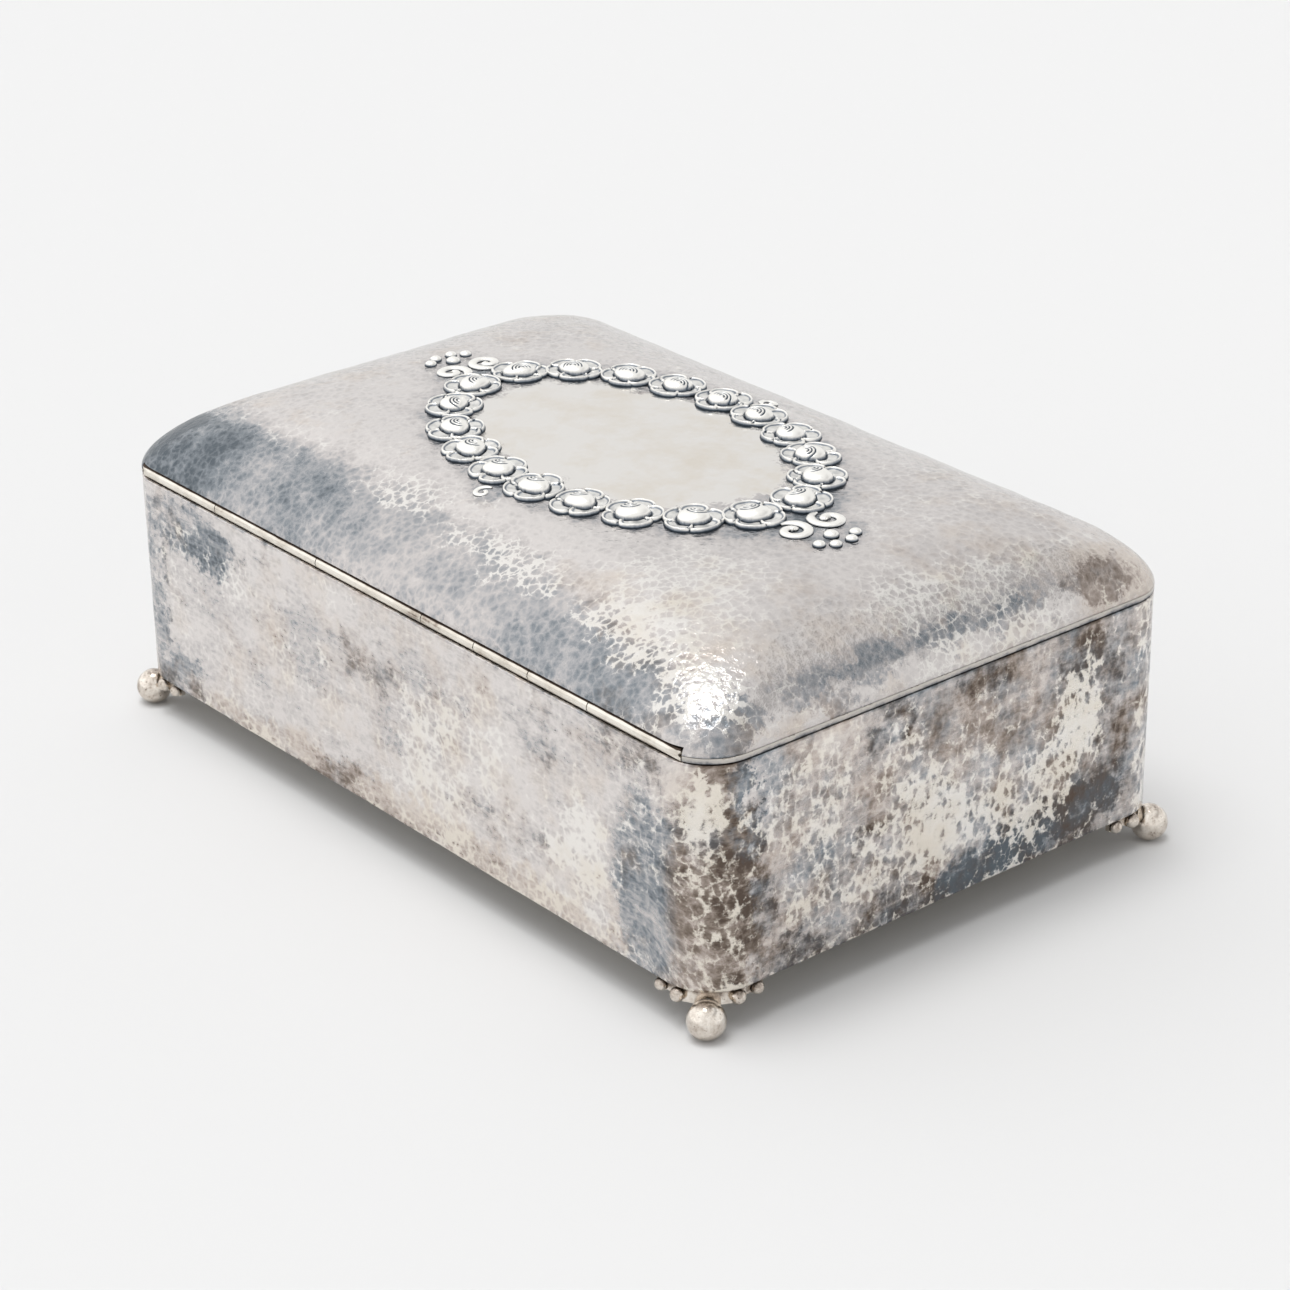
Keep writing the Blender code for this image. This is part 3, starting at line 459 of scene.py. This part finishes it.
for node_name in drawn_nodes:
    node_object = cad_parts[node_name]
    for place_number in range(len(node_object.data.materials)):
        node_object.material_slots[place_number].material = drawn

# Feet: silver balls 8 mm across with a worn flat, and half-round grains on scalloped strips. The
# silver is warm and brownish, with dark specks, and dark where ball and grains meet the strips.
foot_silver, tree, mm = start_silver("warm_tarnished_silver")
cloud = add(tree, "TexNoise", {"Vector": mm, "Scale": 0.45, "Detail": 6.0, "Roughness": 0.7})
specks = add(tree, "TexNoise", {"Vector": mm, "Scale": 1.9, "Detail": 3.0, "Roughness": 0.6})
specks = add(tree, "MapRange", {0: specks.outputs["Fac"], 1: 0.60, 2: 0.74})
height = add(tree, "SeparateXYZ", {0: mm})
under = add(tree, "MapRange", {0: height.outputs["Z"], 1: 7.0, 2: 8.8})
mixed = add(tree, "Math", {0: specks, 1: 0.35, 2: cloud.outputs["Fac"]}, operation="MULTIPLY_ADD")
mixed = add(tree, "Math", {0: under, 1: 0.30, 2: mixed}, operation="MULTIPLY_ADD")
tint = add(tree, "ValToRGB", {0: mixed}, stops=[
    (0.34, "#f1ebe2"), (0.56, "#d6ccc1"), (0.72, "#a0958b"), (0.88, "#544a42"), (1.0, "#241f1b"),
])
dull = add(tree, "MapRange", {0: mixed, 1: 0.4, 2: 0.9, 3: 0.14, 4: 0.36})
finish_silver(tree, tint, dull, cloud.outputs["Fac"], depth=0.0001)

corner_names = ("back_left", "back_right", "front_right", "front_left")
ball_rows, ball_turns, dent_share = 30, 44, 0.010
for number, corner_name in enumerate(corner_names):
    low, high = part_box(f"foot_ball_{corner_name}")
    radius = (high.x - low.x) / 2
    middle = Vector(((low.x + high.x) / 2, (low.y + high.y) / 2, high.z - radius))
    ball_rings = []
    for row in range(1, ball_rows):
        tilt = math.pi * row / ball_rows
        across, up = math.sin(tilt), math.cos(tilt)
        ring = []
        for turn in range(ball_turns):
            angle = 2 * math.pi * turn / ball_turns
            spot = Vector((across * math.cos(angle), across * math.sin(angle), up))
            dent = 1 - dent_share * abs(noise.noise(spot * 2.2 + Vector((number * 5, 0, 0))))
            point = middle + spot * radius * dent
            ring.append((point.x, point.y, max(point.z, 0.0)))
        ball_rings.append(ring)
    ball = rings_to_mesh(f"worn_ball_{corner_name}", ball_rings, closed=False)
    ball.data.materials.append(foot_silver)
    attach(ball, "body")
    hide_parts(f"foot_ball_{corner_name}")
    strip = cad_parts[f"foot_strip_{corner_name}"]
    for place_number in range(len(strip.data.materials)):
        strip.material_slots[place_number].material = foot_silver


def dome(name, centre, outward, radius, height, seed):
    """A half-round grain, a little uneven, standing on a place and facing outward."""
    outward = outward.normalized()
    first = outward.orthogonal().normalized()
    second = outward.cross(first)
    rings = []
    rows, turns, top_share, uneven = 10, 28, 0.985, 0.03
    for row in range(rows + 1):
        tilt = math.pi / 2 * row / rows * top_share
        ring = []
        for turn in range(turns):
            angle = 2 * math.pi * turn / turns
            wobble = 1 + uneven * noise.noise(Vector((math.cos(angle), math.sin(angle), seed)) * 1.3)
            reach = radius * math.cos(tilt) * min(wobble, 1.0)
            lift = height * math.sin(tilt)
            point = centre + first * reach * math.cos(angle) + second * reach * math.sin(angle)
            ring.append(tuple(point + outward * lift))
        rings.append(ring)
    return rings_to_mesh(name, rings, closed=False, sharp=50)


for corner_name in corner_names:
    for number in range(1, 5):
        node_name = f"foot_grain_{corner_name}_{number}"
        low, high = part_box(node_name)
        size = high - low
        centre = (low + high) / 2
        if number % 2:
            side = 1 if centre.x > 0 else -1
            outward = Vector((side, 0, 0))
            centre.x = low.x if side > 0 else high.x
            radius, height = size.z / 2, size.x
        else:
            side = 1 if centre.y > 0 else -1
            outward = Vector((0, side, 0))
            centre.y = low.y if side > 0 else high.y
            radius, height = size.z / 2, size.y
        bead = dome(f"bead_{corner_name}_{number}", centre, outward, radius, height, number)
        bead.data.materials.append(foot_silver)
        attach(bead, "body")
        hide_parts(node_name)

# Rim band: the smooth strip 1.2 mm high under the lid's edge, rubbed round, pale along its top and dark
# grey along its foot. The hinge tubes lie in a slot cut in it and in the lid.
band_low, band_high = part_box("lid_rim_band")
slot_gap, overshoot = 0.0003, 0.004
slot_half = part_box("hinge_knuckle_7")[1].x + slot_gap
slot_front = half_width - 0.0029
slot_top = 0.06115


def slotted(thing):
    """Cut the hinge slot out of a piece of the lid, for good."""
    mesh = bpy.data.meshes.new("slot_tool")
    x, y, z = slot_half, (slot_front, half_width + overshoot), (band_low.z - overshoot, slot_top)
    corners = [(sx * x, sy, sz) for sz in z for sx, sy in ((-1, y[0]), (1, y[0]), (1, y[1]), (-1, y[1]))]
    ends = [(3, 2, 1, 0), (4, 5, 6, 7)]
    sides = [(0, 1, 5, 4), (1, 2, 6, 5), (2, 3, 7, 6), (3, 0, 4, 7)]
    mesh.from_pydata(corners, [], ends + sides)
    tool = bpy.data.objects.new("slot_tool", mesh)
    bpy.context.scene.collection.objects.link(tool)
    step = thing.modifiers.new("slot", "BOOLEAN")
    step.operation = "DIFFERENCE"
    step.solver = "EXACT"
    step.object = tool
    bpy.context.view_layer.update()
    depsgraph = bpy.context.evaluated_depsgraph_get()
    cut_mesh = bpy.data.meshes.new_from_object(thing.evaluated_get(depsgraph))
    thing.modifiers.clear()
    thing.data = cut_mesh
    bpy.data.objects.remove(tool, do_unlink=True)
    cut_mesh.set_sharp_from_angle(angle=math.radians(40))


lip = 0.00022
band_profile = [
    (lip, band_low.z), (lip * 0.3, band_low.z + lip * 0.3), (0, band_low.z + lip),
    (0, band_high.z - lip), (lip * 0.3, band_high.z - lip * 0.3), (lip, band_high.z),
    (sheet, band_high.z), (sheet, band_low.z),
]
band_rings = []
for inset, height in band_profile:
    path = rounded_path(half_length - inset, half_width - inset, corner_radius - inset)
    band_rings.append([(x, y, height) for x, y in path])
rim_strip = rings_to_mesh("rim_strip", band_rings)
slotted(rim_strip)
banded, tree, mm = start_silver("rim_silver_dark_foot")
cloud = add(tree, "TexNoise", {"Vector": mm, "Scale": 0.25, "Detail": 6.0, "Roughness": 0.7})
height = add(tree, "SeparateXYZ", {0: mm}).outputs["Z"]
height = add(tree, "MapRange", {0: height, 1: band_high.z * 1000, 2: band_low.z * 1000})
mixed = add(tree, "Math", {0: height, 1: 0.45, 2: cloud.outputs["Fac"]}, operation="MULTIPLY_ADD")
tint = add(tree, "ValToRGB", {0: mixed}, stops=[
    (0.30, "#8a8078"), (0.50, "#cbc6be"), (0.74, "#bdb9b4"), (0.90, "#8b8c8e"), (1.0, "#5d6064"),
])
dull = add(tree, "MapRange", {0: mixed, 1: 0.4, 2: 1.0, 3: 0.26, 4: 0.46})
finish_silver(tree, tint, dull, cloud.outputs["Fac"], depth=0.0001)
rim_strip.data.materials.clear()
rim_strip.data.materials.append(banded)
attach(rim_strip, "lid")
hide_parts("lid_rim_band")

# Lid: raised from one sheet 1 mm thick, with a rolled shoulder and a nearly flat top. It is planished
# like the wall, blue-grey along the shoulders, and rubbed smooth and pale inside the garland.
shoulder_width, shoulder_rise, shoulder_power = 0.0295, 0.0152, 1.735
crown_rise, crown_power, corner_softening = 0.0025, 1.66, 0.35


def lid_height(inset):
    """Height of the lid's outside at an inset from its rim."""
    along = min(inset / shoulder_width, 1)
    shoulder = shoulder_rise * (1 - (1 - along) ** shoulder_power) ** (1 / shoulder_power)
    return band_high.z + shoulder + crown_rise * (1 - max(1 - inset / half_width, 0) ** crown_power)


def lid_at(x, y):
    """Height of the lid's outside above a place in the plan."""
    return lid_height(inset_at(x, y))


def lid_ring(inset, height):
    """The lid's ring at an inset, as points at one height."""
    path = rounded_path(half_length - inset, half_width - inset, corner_radius + corner_softening * inset)
    return [(x, y, height) for x, y in path]


def inset_at(x, y):
    """The inset of the lid's ring that passes through a place in the plan."""
    low, high = 0, half_width * 0.97
    for _ in range(24):
        inset = (low + high) / 2
        width = half_width - inset
        radius = min(corner_radius + corner_softening * inset, width * 0.98)
        over_x, over_y = abs(x) - half_length + inset + radius, abs(y) - width + radius
        outside = math.hypot(max(over_x, 0), max(over_y, 0)) + min(max(over_x, over_y), 0)
        if outside < radius:
            low = inset
        else:
            high = inset
    return (low + high) / 2


lid_rows, lid_hammer_depth, fade_width, flat_share = 60, 0.00030, 0.004, 0.35
insets = [half_width * 0.985 * (row / lid_rows) ** 1.7 for row in range(lid_rows + 1)]
outside = [(0, band_high.z + 0.0001)] + [(inset, lid_height(inset)) for inset in insets[1:]]
outer = []
for inset, height in outside:
    ring = []
    fade = min(inset / fade_width, 1)
    if inset > shoulder_width:
        fade *= flat_share
    for x, y, z in lid_ring(inset, height):
        ring.append((x, y, z + fade * hammered((x, y, z), lid_hammer_depth)))
    outer.append(ring)
inner = []
for number, (before, here, after) in enumerate(zip(outside, outside[1:], outside[2:] + [outside[-1]])):
    if number % 3:
        continue
    run = Vector((after[0] - before[0], after[1] - before[1])).normalized() * sheet
    inner.append(lid_ring(here[0] + run.y, here[1] - run.x))
rim_edge = lid_ring(sheet, outside[0][1])
lid_sheet = rings_to_mesh("lid_sheet", outer[::-1] + [rim_edge] + inner, closed=False)
slotted(lid_sheet)
garland_long, garland_wide, garland_shift, garland_turn = 0.0488, 0.0308, -0.0014, math.radians(-0.9)


def garland_shade(tree, torn, film, bare):
    """Grey film round the flowers, fading off, and the field inside them rubbed smooth and pale."""
    oval = add(tree, "Mapping", {
        "Vector": torn, "Location": (0, garland_shift * 1000, 76), "Rotation": (0, 0, garland_turn),
        "Scale": (garland_long * 1000, garland_wide * 1000, 1000),
    }, vector_type="TEXTURE")
    reach = add(tree, "VectorMath", {0: oval}, operation="LENGTH").outputs["Value"]
    field = add(tree, "MapRange", {0: reach, 1: 0.93, 2: 0.79}, interpolation_type="SMOOTHSTEP")
    offset = add(tree, "Math", {0: reach, 1: 0.98}, operation="SUBTRACT")
    offset = add(tree, "Math", {0: offset}, operation="ABSOLUTE")
    halo = add(tree, "MapRange", {0: offset, 1: 0.31, 2: 0.12}, interpolation_type="SMOOTHSTEP")
    film = add(tree, "Math", {0: halo, 1: 0.40, 2: film}, operation="MULTIPLY_ADD")
    kept = add(tree, "Math", {0: field, 1: -0.80, 2: 1.0}, operation="MULTIPLY_ADD")
    film = add(tree, "Math", {0: film, 1: kept}, operation="MULTIPLY")
    bare = add(tree, "Math", {0: halo, 1: -0.6, 2: bare}, operation="MULTIPLY_ADD")
    return film, add(tree, "Math", {0: field, 1: 2.4, 2: bare}, operation="MULTIPLY_ADD"), kept


lid_silver = aged_silver(
    "planished_tarnished_silver_lid",
    thick=[
        (66, 60, 67, 60, 21, 18, 0.22), (-64, 62, 66, 40, 15, 13, 0.18),
        # the row at x -98 paints the dark streak along the -X shoulder: painted reflection of the flag,
        # over a thicker film
        (90, 58, 69, 36, 24, 16, 0.34), (-98, 0, 68.5, 7, 72, 4.5, 0.33),
        # the row at x -74 darkens the lid's -X half: painted shade for dimmer mirrored light, over a
        # thicker film
        (-74, -14, 76, 44, 60, 12, 0.12),
    ],
    slate=[
        (14, 61, 66, 190, 25, 19, 0.36), (-66, 62, 66, 30, 12, 10, 0.06), (92, 40, 68, 14, 30, 10, 0.16),
        (-61, -1.4, 75, 12, 11, 20, 0.24), (61, -1.4, 75, 12, 11, 20, 0.24), (0, 37, 75, 6, 6, 20, 0.24),
        # the slate rows at x -96 to -100 along the -X shoulder are tarnish and, along the streak, painted
        # reflection of the flag
        (0, -40, 75, 6, 6, 20, 0.24), (-97, 53, 64, 6, 10, 7, 0.55), (-96, 36, 66, 5, 11, 6, 0.34),
        (-96, 19, 66, 5, 12, 6, 0.34), (-97, -1, 66, 5, 15, 6, 0.34), (-97, -22, 65, 5, 14, 6, 0.32),
        (-97, -45, 65, 6, 15, 6, 0.50), (-100, 29, 61, 4, 8, 4, 0.35), (-99, 26, 63, 5, 22, 5, 0.14),
        (0, 0, 74, 120, 80, 20, 0.12),
    ],
    worn=[
        (15, 46, 75, 14, 9, 7, 0.44), (-22, 52, 72, 31, 9, 9, 0.50), (-67, 52, 72, 25, 10, 9, 0.66),
        (-89, 54, 68, 12, 10, 9, 0.66), (-63, 38, 76, 23, 19, 8, 0.40), (-90, -9, 71, 10, 27, 8, 0.56),
        (-99, -14, 62, 6, 31, 7, 0.56), (0, 0, 70, 400, 300, 100, -0.16), (0, 0, 77, 80, 40, 12, -0.40),
        (20, 60, 66, 120, 14, 13, -0.55),
    ],
    browns=[
        (-97, -50, 65, 12, 20, 9, 0.9), (-99, 40, 62, 6, 16, 4, 0.5), (40, 60, 67, 110, 24, 20, -1.6),
        (-40, 60, 66, 40, 12, 9, -0.7), (-96, 10, 66, 6, 50, 6, -0.7), (0, 0, 77, 90, 60, 20, -0.9),
        (0, -1, 77, 60, 36, 20, 1.0),
    ],
    tone=0.14,
    streak=(0.7, 0.7, 0.7),
    seams=[(60.0, 59.7, 0.25, 0.0)],
    net=1.3,
    grain=0.45,
    gloss=(0.15, 0.31),
    # painted shade: the lid's colour taken down to 0.79, standing in for dimmer light mirrored by its top
    shade=0.79,
    extra=garland_shade,
)
lid_sheet.data.materials.clear()
lid_sheet.data.materials.append(lid_silver)
line_inside(lid_sheet)
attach(lid_sheet, "lid")
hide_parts("lid_shell")

# Garland: twenty chased roses, each a domed bud with cut crescents in a ring of five cupped petals,
# about 13 mm across. High places are polished, and the recesses are black-grey with tarnish and painted
# shade.
chased, tree, mm = start_silver("chased_silver_tarnish_and_painted_shade")
cloud = add(tree, "TexNoise", {"Vector": mm, "Scale": 0.6, "Detail": 5.0, "Roughness": 0.65})
# how dark each point is: tarnish in the hollows and painted shade of the relief
tarnish_and_painted_shade = add(tree, "Attribute", attribute_name="tarnish_and_painted_shade").outputs["Fac"]
mixed = add(tree, "Math", {0: cloud.outputs["Fac"], 1: 0.35, 2: tarnish_and_painted_shade}, operation="MULTIPLY_ADD")
tint = add(tree, "ValToRGB", {0: mixed}, stops=[
    (0.20, "#f2f0eb"), (0.38, "#d2d1ce"), (0.56, "#969ba2"), (0.80, "#5e6771"), (1.0, "#384048"),
])
dull = add(tree, "MapRange", {0: mixed, 1: 0.2, 2: 0.8, 3: 0.32, 4: 0.52})
finish_silver(tree, tint, dull, cloud.outputs["Fac"], depth=0.00008)

rose_count, rose_radius, first_seed, skirt = 20, 0.0068, 100, 0.0003


def lid_frame(x, y, spin=0.0):
    """A frame lying on the lid at a place about the garland's middle, turned by an angle."""
    turned_x = x * math.cos(garland_turn) - y * math.sin(garland_turn)
    turned_y = x * math.sin(garland_turn) + y * math.cos(garland_turn) + garland_shift
    reach = rose_radius / 2
    slope_x = lid_at(turned_x + reach, turned_y) - lid_at(turned_x - reach, turned_y)
    slope_y = lid_at(turned_x, turned_y + reach) - lid_at(turned_x, turned_y - reach)
    up = Vector((-slope_x / (2 * reach), -slope_y / (2 * reach), 1)).normalized()
    angle = spin + garland_turn
    along = Vector((math.cos(angle), math.sin(angle), 0))
    along = (along - up * along.dot(up)).normalized()
    made = Matrix((along, up.cross(along), up)).transposed().to_4x4()
    made.translation = Vector((turned_x, turned_y, lid_at(turned_x, turned_y)))
    return made


def smooth_step(value, low, high):
    """Rises smoothly from 0 at low to 1 at high."""
    share = np.clip((value - low) / (high - low), 0, 1)
    return share * share * (3 - 2 * share)


def chased_rose(seed):
    """One rose as a grid of points in millimetres, and how dark each is. +Y is the wreath's middle."""
    dice = np.random.default_rng(seed)
    rows, columns = 60, 144
    petals = []
    for angle in (90, 20, 160, -50, 230):
        angle = math.radians(angle + dice.uniform(-9, 9))
        petals.append((angle, dice.uniform(4.0, 4.4), dice.uniform(3.3, 3.9), dice.uniform(2.25, 2.65)))
    theta = np.linspace(0, 2 * math.pi, columns, endpoint=False)
    reach = np.full(columns, 4.2)
    for r in np.arange(3.8, 8.0, 0.03):
        inside = np.zeros(columns, bool)
        for angle, out, across, deep in petals:
            radial = r * np.cos(theta - angle) - out
            tangent = r * np.sin(theta - angle)
            inside |= (radial / deep) ** 2 + (tangent / across) ** 2 < 1
        reach = np.where(inside, r, reach)
    reach = np.minimum(reach, 7.0)
    share = np.linspace(0.0, 1.0, rows)[:, None] ** 0.85
    radius = share * reach[None, :]
    x, y = radius * np.cos(theta), radius * np.sin(theta)
    height = np.full_like(x, 0.12)
    inner = np.zeros_like(x)
    for place in dice.permutation(5):
        angle, out, across, deep = petals[place]
        radial = x * math.cos(angle) + y * math.sin(angle) - out
        tangent = -x * math.sin(angle) + y * math.cos(angle)
        across_share = np.sqrt((radial / deep) ** 2 + (tangent / across) ** 2)
        ripple = 0.10 * np.sin(tangent * 1.9 + angle * 3) * (1 - across_share)
        cup = 0.40 + 0.30 * across_share ** 2 + ripple
        cup += 0.30 * np.exp(-((across_share - 0.84) / 0.09) ** 2)
        cup *= 1 - 0.88 * smooth_step(across_share, 0.90, 1.0)
        height = np.where(across_share < 1, cup, height)
        # painted shade: a grey band inside each petal and a dark edge round it, over tarnish
        line = 0.16 * smooth_step(across_share, 0.80, 0.60)
        line += 0.36 * np.exp(-((across_share - 0.71) / 0.06) ** 2)
        line += 0.55 * smooth_step(across_share, 0.93, 0.99)
        inner = np.where(across_share < 1, line, inner)
    long_half, wide_half = dice.uniform(3.4, 3.8), dice.uniform(3.0, 3.3)
    tilt = dice.uniform(-0.35, 0.35)
    bud_x = x * math.cos(tilt) + (y - 0.1) * math.sin(tilt)
    bud_y = (y - 0.1) * math.cos(tilt) - x * math.sin(tilt)
    bud = np.sqrt((bud_x / long_half) ** 2 + (bud_y / (wide_half * (1 - 0.05 * bud_x))) ** 2)
    domed = 0.60 + 1.65 * np.sqrt(np.clip(1 - bud ** 2, 0, 1))
    curl_x, curl_y = dice.uniform(-1.2, 1.2), dice.uniform(1.1, 1.7)
    from_curl = np.hypot(x - curl_x, y - curl_y)
    curl_angle = np.arctan2(x - curl_x, curl_y - y)
    cuts = np.zeros_like(x)
    for ring in (0.60, 1.30, 2.05):
        span = smooth_step(np.abs(curl_angle), 1.9, 1.2)
        cuts = np.maximum(cuts, np.exp(-((from_curl - ring) / 0.16) ** 2) * span)
    domed -= 0.24 * cuts
    height = height * (1 - 0.70 * smooth_step(bud, 1.22, 1.03))
    height = np.where(bud < 1, np.maximum(domed, height), height)
    inner = np.where(bud < 1, 0.80 * cuts + 0.30 * smooth_step(bud, 0.92, 1.0), inner)
    spread = np.zeros_like(height)
    count = 0
    padded = np.vstack([height[4:0:-1], height, np.repeat(height[-1:], 4, axis=0)])
    for down in range(-4, 5):
        for across in range(-4, 5):
            spread += np.roll(padded[4 + down:4 + down + rows], across, axis=1)
            count += 1
    # painted shade where a point lies below the mean of its neighbours, and along the rose's outer edge;
    # tarnish also lies in these hollows
    tarnish_and_painted_shade = np.clip((spread / count - height) / 0.60, 0, 0.6)
    tarnish_and_painted_shade = np.maximum(tarnish_and_painted_shade + inner, smooth_step(share, 0.95, 1.0) * 0.60)
    for _ in range(int(dice.integers(1, 4))):
        petal = petals[int(dice.integers(0, 5))]
        angle = petal[0] + math.radians(36)
        hole = np.hypot(x - 5.2 * math.cos(angle), y - 5.2 * math.sin(angle))
        tarnish_and_painted_shade = np.maximum(tarnish_and_painted_shade, smooth_step(hole, 0.40, 0.20))
        height = height - 0.30 * smooth_step(hole, 0.40, 0.20)
    return np.stack([x, y, np.maximum(height, 0.05)], axis=-1), tarnish_and_painted_shade


def paint_tarnish_and_shade(mesh, shades):
    """Say for each point of a mesh how dark it is, from 0 to 1: tarnish and painted shade."""
    mesh.attributes.new("tarnish_and_painted_shade", "FLOAT", "POINT").data.foreach_set("value", shades)


fine_steps = 720
curve_points = []
for step in range(fine_steps + 1):
    angle = 2 * math.pi * step / fine_steps
    curve_points.append((garland_long * math.cos(angle), garland_wide * math.sin(angle)))
lengths = [0.0]
for (x, y), (next_x, next_y) in zip(curve_points, curve_points[1:]):
    lengths.append(lengths[-1] + math.hypot(next_x - x, next_y - y))
garland_points, garland_faces, garland_tarnish_and_painted_shade = [], [], []
for number in range(rose_count):
    wanted = lengths[-1] * (number + 0.5) / rose_count
    step = next(index for index, length in enumerate(lengths) if length >= wanted)
    x, y = curve_points[step]
    before_x, before_y = curve_points[step - 1]
    heading = math.atan2(y - before_y, x - before_x)
    seat = lid_frame(x, y, heading)
    grid, tarnish_and_painted_shade = chased_rose(first_seed + number)
    grid = grid / 1000
    rows, columns = tarnish_and_painted_shade.shape
    start = len(garland_points)
    for row in range(rows):
        for column in range(columns):
            garland_points.append(seat @ Vector(grid[row, column]))
            garland_tarnish_and_painted_shade.append(float(tarnish_and_painted_shade[row, column]))
    for column in range(columns):
        point = Vector(grid[-1, column])
        point.z = -skirt
        garland_points.append(seat @ point)
        garland_tarnish_and_painted_shade.append(0.6)
    for row in range(1, rows):
        for column in range(columns):
            after = (column + 1) % columns
            first, second = start + row * columns, start + (row + 1) * columns
            garland_faces.append((first + column, second + column, second + after, first + after))
    garland_faces.append(tuple(start + columns + column for column in range(columns)))
garland_mesh = bpy.data.meshes.new("rose_wreath")
garland_mesh.from_pydata(garland_points, [], garland_faces)
paint_tarnish_and_shade(garland_mesh, garland_tarnish_and_painted_shade)
rose_wreath = as_object("rose_wreath", garland_mesh, 60)
garland_mesh.materials.append(chased)
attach(rose_wreath, "lid")
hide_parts("rose_garland")


# Sprays: flat half-round wire 2.2 mm wide rolled into scrolls, with grains beyond them, all soldered
# down. Their tops are rubbed pale and their edges are blue-grey.
def rolled_wire(name, seat, radius, turns, hand):
    """A flattened wire rolled into a spiral that starts at its outer end and swells at its eye."""
    steps, sides, wire_share, bed = 90, 14, 0.22, 0.00012
    wire = radius * wire_share
    points, faces, shades = [], [], []
    for step in range(steps):
        along = step / (steps - 1)
        reach = (radius - wire) * (1 - 0.90 * along ** 1.2)
        angle = hand * 2 * math.pi * turns * along
        ends = min(1, 0.45 + along * 5) * min(1, 0.35 + (1 - along) * 14)
        width = wire * ends * (1 - 0.12 * min(along, 0.7) + 0.9 * max(0, along - 0.8))
        direction = Vector((math.cos(angle), math.sin(angle), 0))
        for side in range(sides):
            turn = 2 * math.pi * side / sides
            lift = max(math.sin(turn), -0.2)
            point = direction * (reach + width * math.cos(turn))
            points.append(seat @ (point + Vector((0, 0, bed + 0.52 * width * lift))))
            shades.append(0.90 * max(0.0, 0.52 - lift))
    for step in range(steps - 1):
        for side in range(sides):
            after = (side + 1) % sides
            first, second = step * sides, (step + 1) * sides
            faces.append((first + side, first + after, second + after, second + side))
    faces.append(tuple(range(sides))[::-1])
    faces.append(tuple((steps - 1) * sides + side for side in range(sides)))
    mesh = bpy.data.meshes.new(name)
    mesh.from_pydata(points, [], faces)
    paint_tarnish_and_shade(mesh, shades)
    mesh.materials.append(chased)
    return as_object(name, mesh, 60)


end_place = garland_long + rose_radius + 0.0025
side_place = garland_wide + 0.0082
scroll_apart, scroll_radius, side_scroll_radius = 0.00482, 0.0050, 0.0029
scrolls = []
for end_name, end in (("left", 1), ("right", -1)):
    for number, side in ((1, 1), (2, -1)):
        seat = lid_frame(end * end_place, side * scroll_apart, math.pi if end > 0 else 0)
        scrolls.append((f"spray_scroll_{end_name}_{number}", seat, scroll_radius, 1.3, side * end))
for side_name, side in (("back", 1), ("front", -1)):
    seat = lid_frame(0, side * side_place, -side * math.pi / 2)
    scrolls.append((f"side_scroll_{side_name}", seat, side_scroll_radius, 1.0, side))
for node_name, seat, radius, turns, hand in scrolls:
    wire = rolled_wire(f"rolled_{node_name}", seat, radius, turns, hand)
    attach(wire, "lid")
    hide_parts(node_name)
bead_rise, dark_share, dark_foot = 0.70, 0.85, 0.40
for end_name in ("left", "right"):
    for number in range(1, 6):
        node_name = f"spray_grain_{end_name}_{number}"
        low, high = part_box(node_name)
        centre = (low + high) / 2
        ground = lid_at(centre.x, centre.y)
        radius = (high.x - low.x) / 2
        seat, up = Vector((centre.x, centre.y, ground)), Vector((0, 0, 1))
        bead = dome(f"spray_bead_{end_name}_{number}", seat, up, radius, radius * bead_rise, number)
        shares = [(vertex.co.z - ground) / (radius * dark_foot) for vertex in bead.data.vertices]
        paint_tarnish_and_shade(bead.data, [dark_share * max(0.0, 1 - share) for share in shares])
        bead.data.materials.append(chased)
        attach(bead, "lid")
        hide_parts(node_name)

bpy.context.view_layer.update()
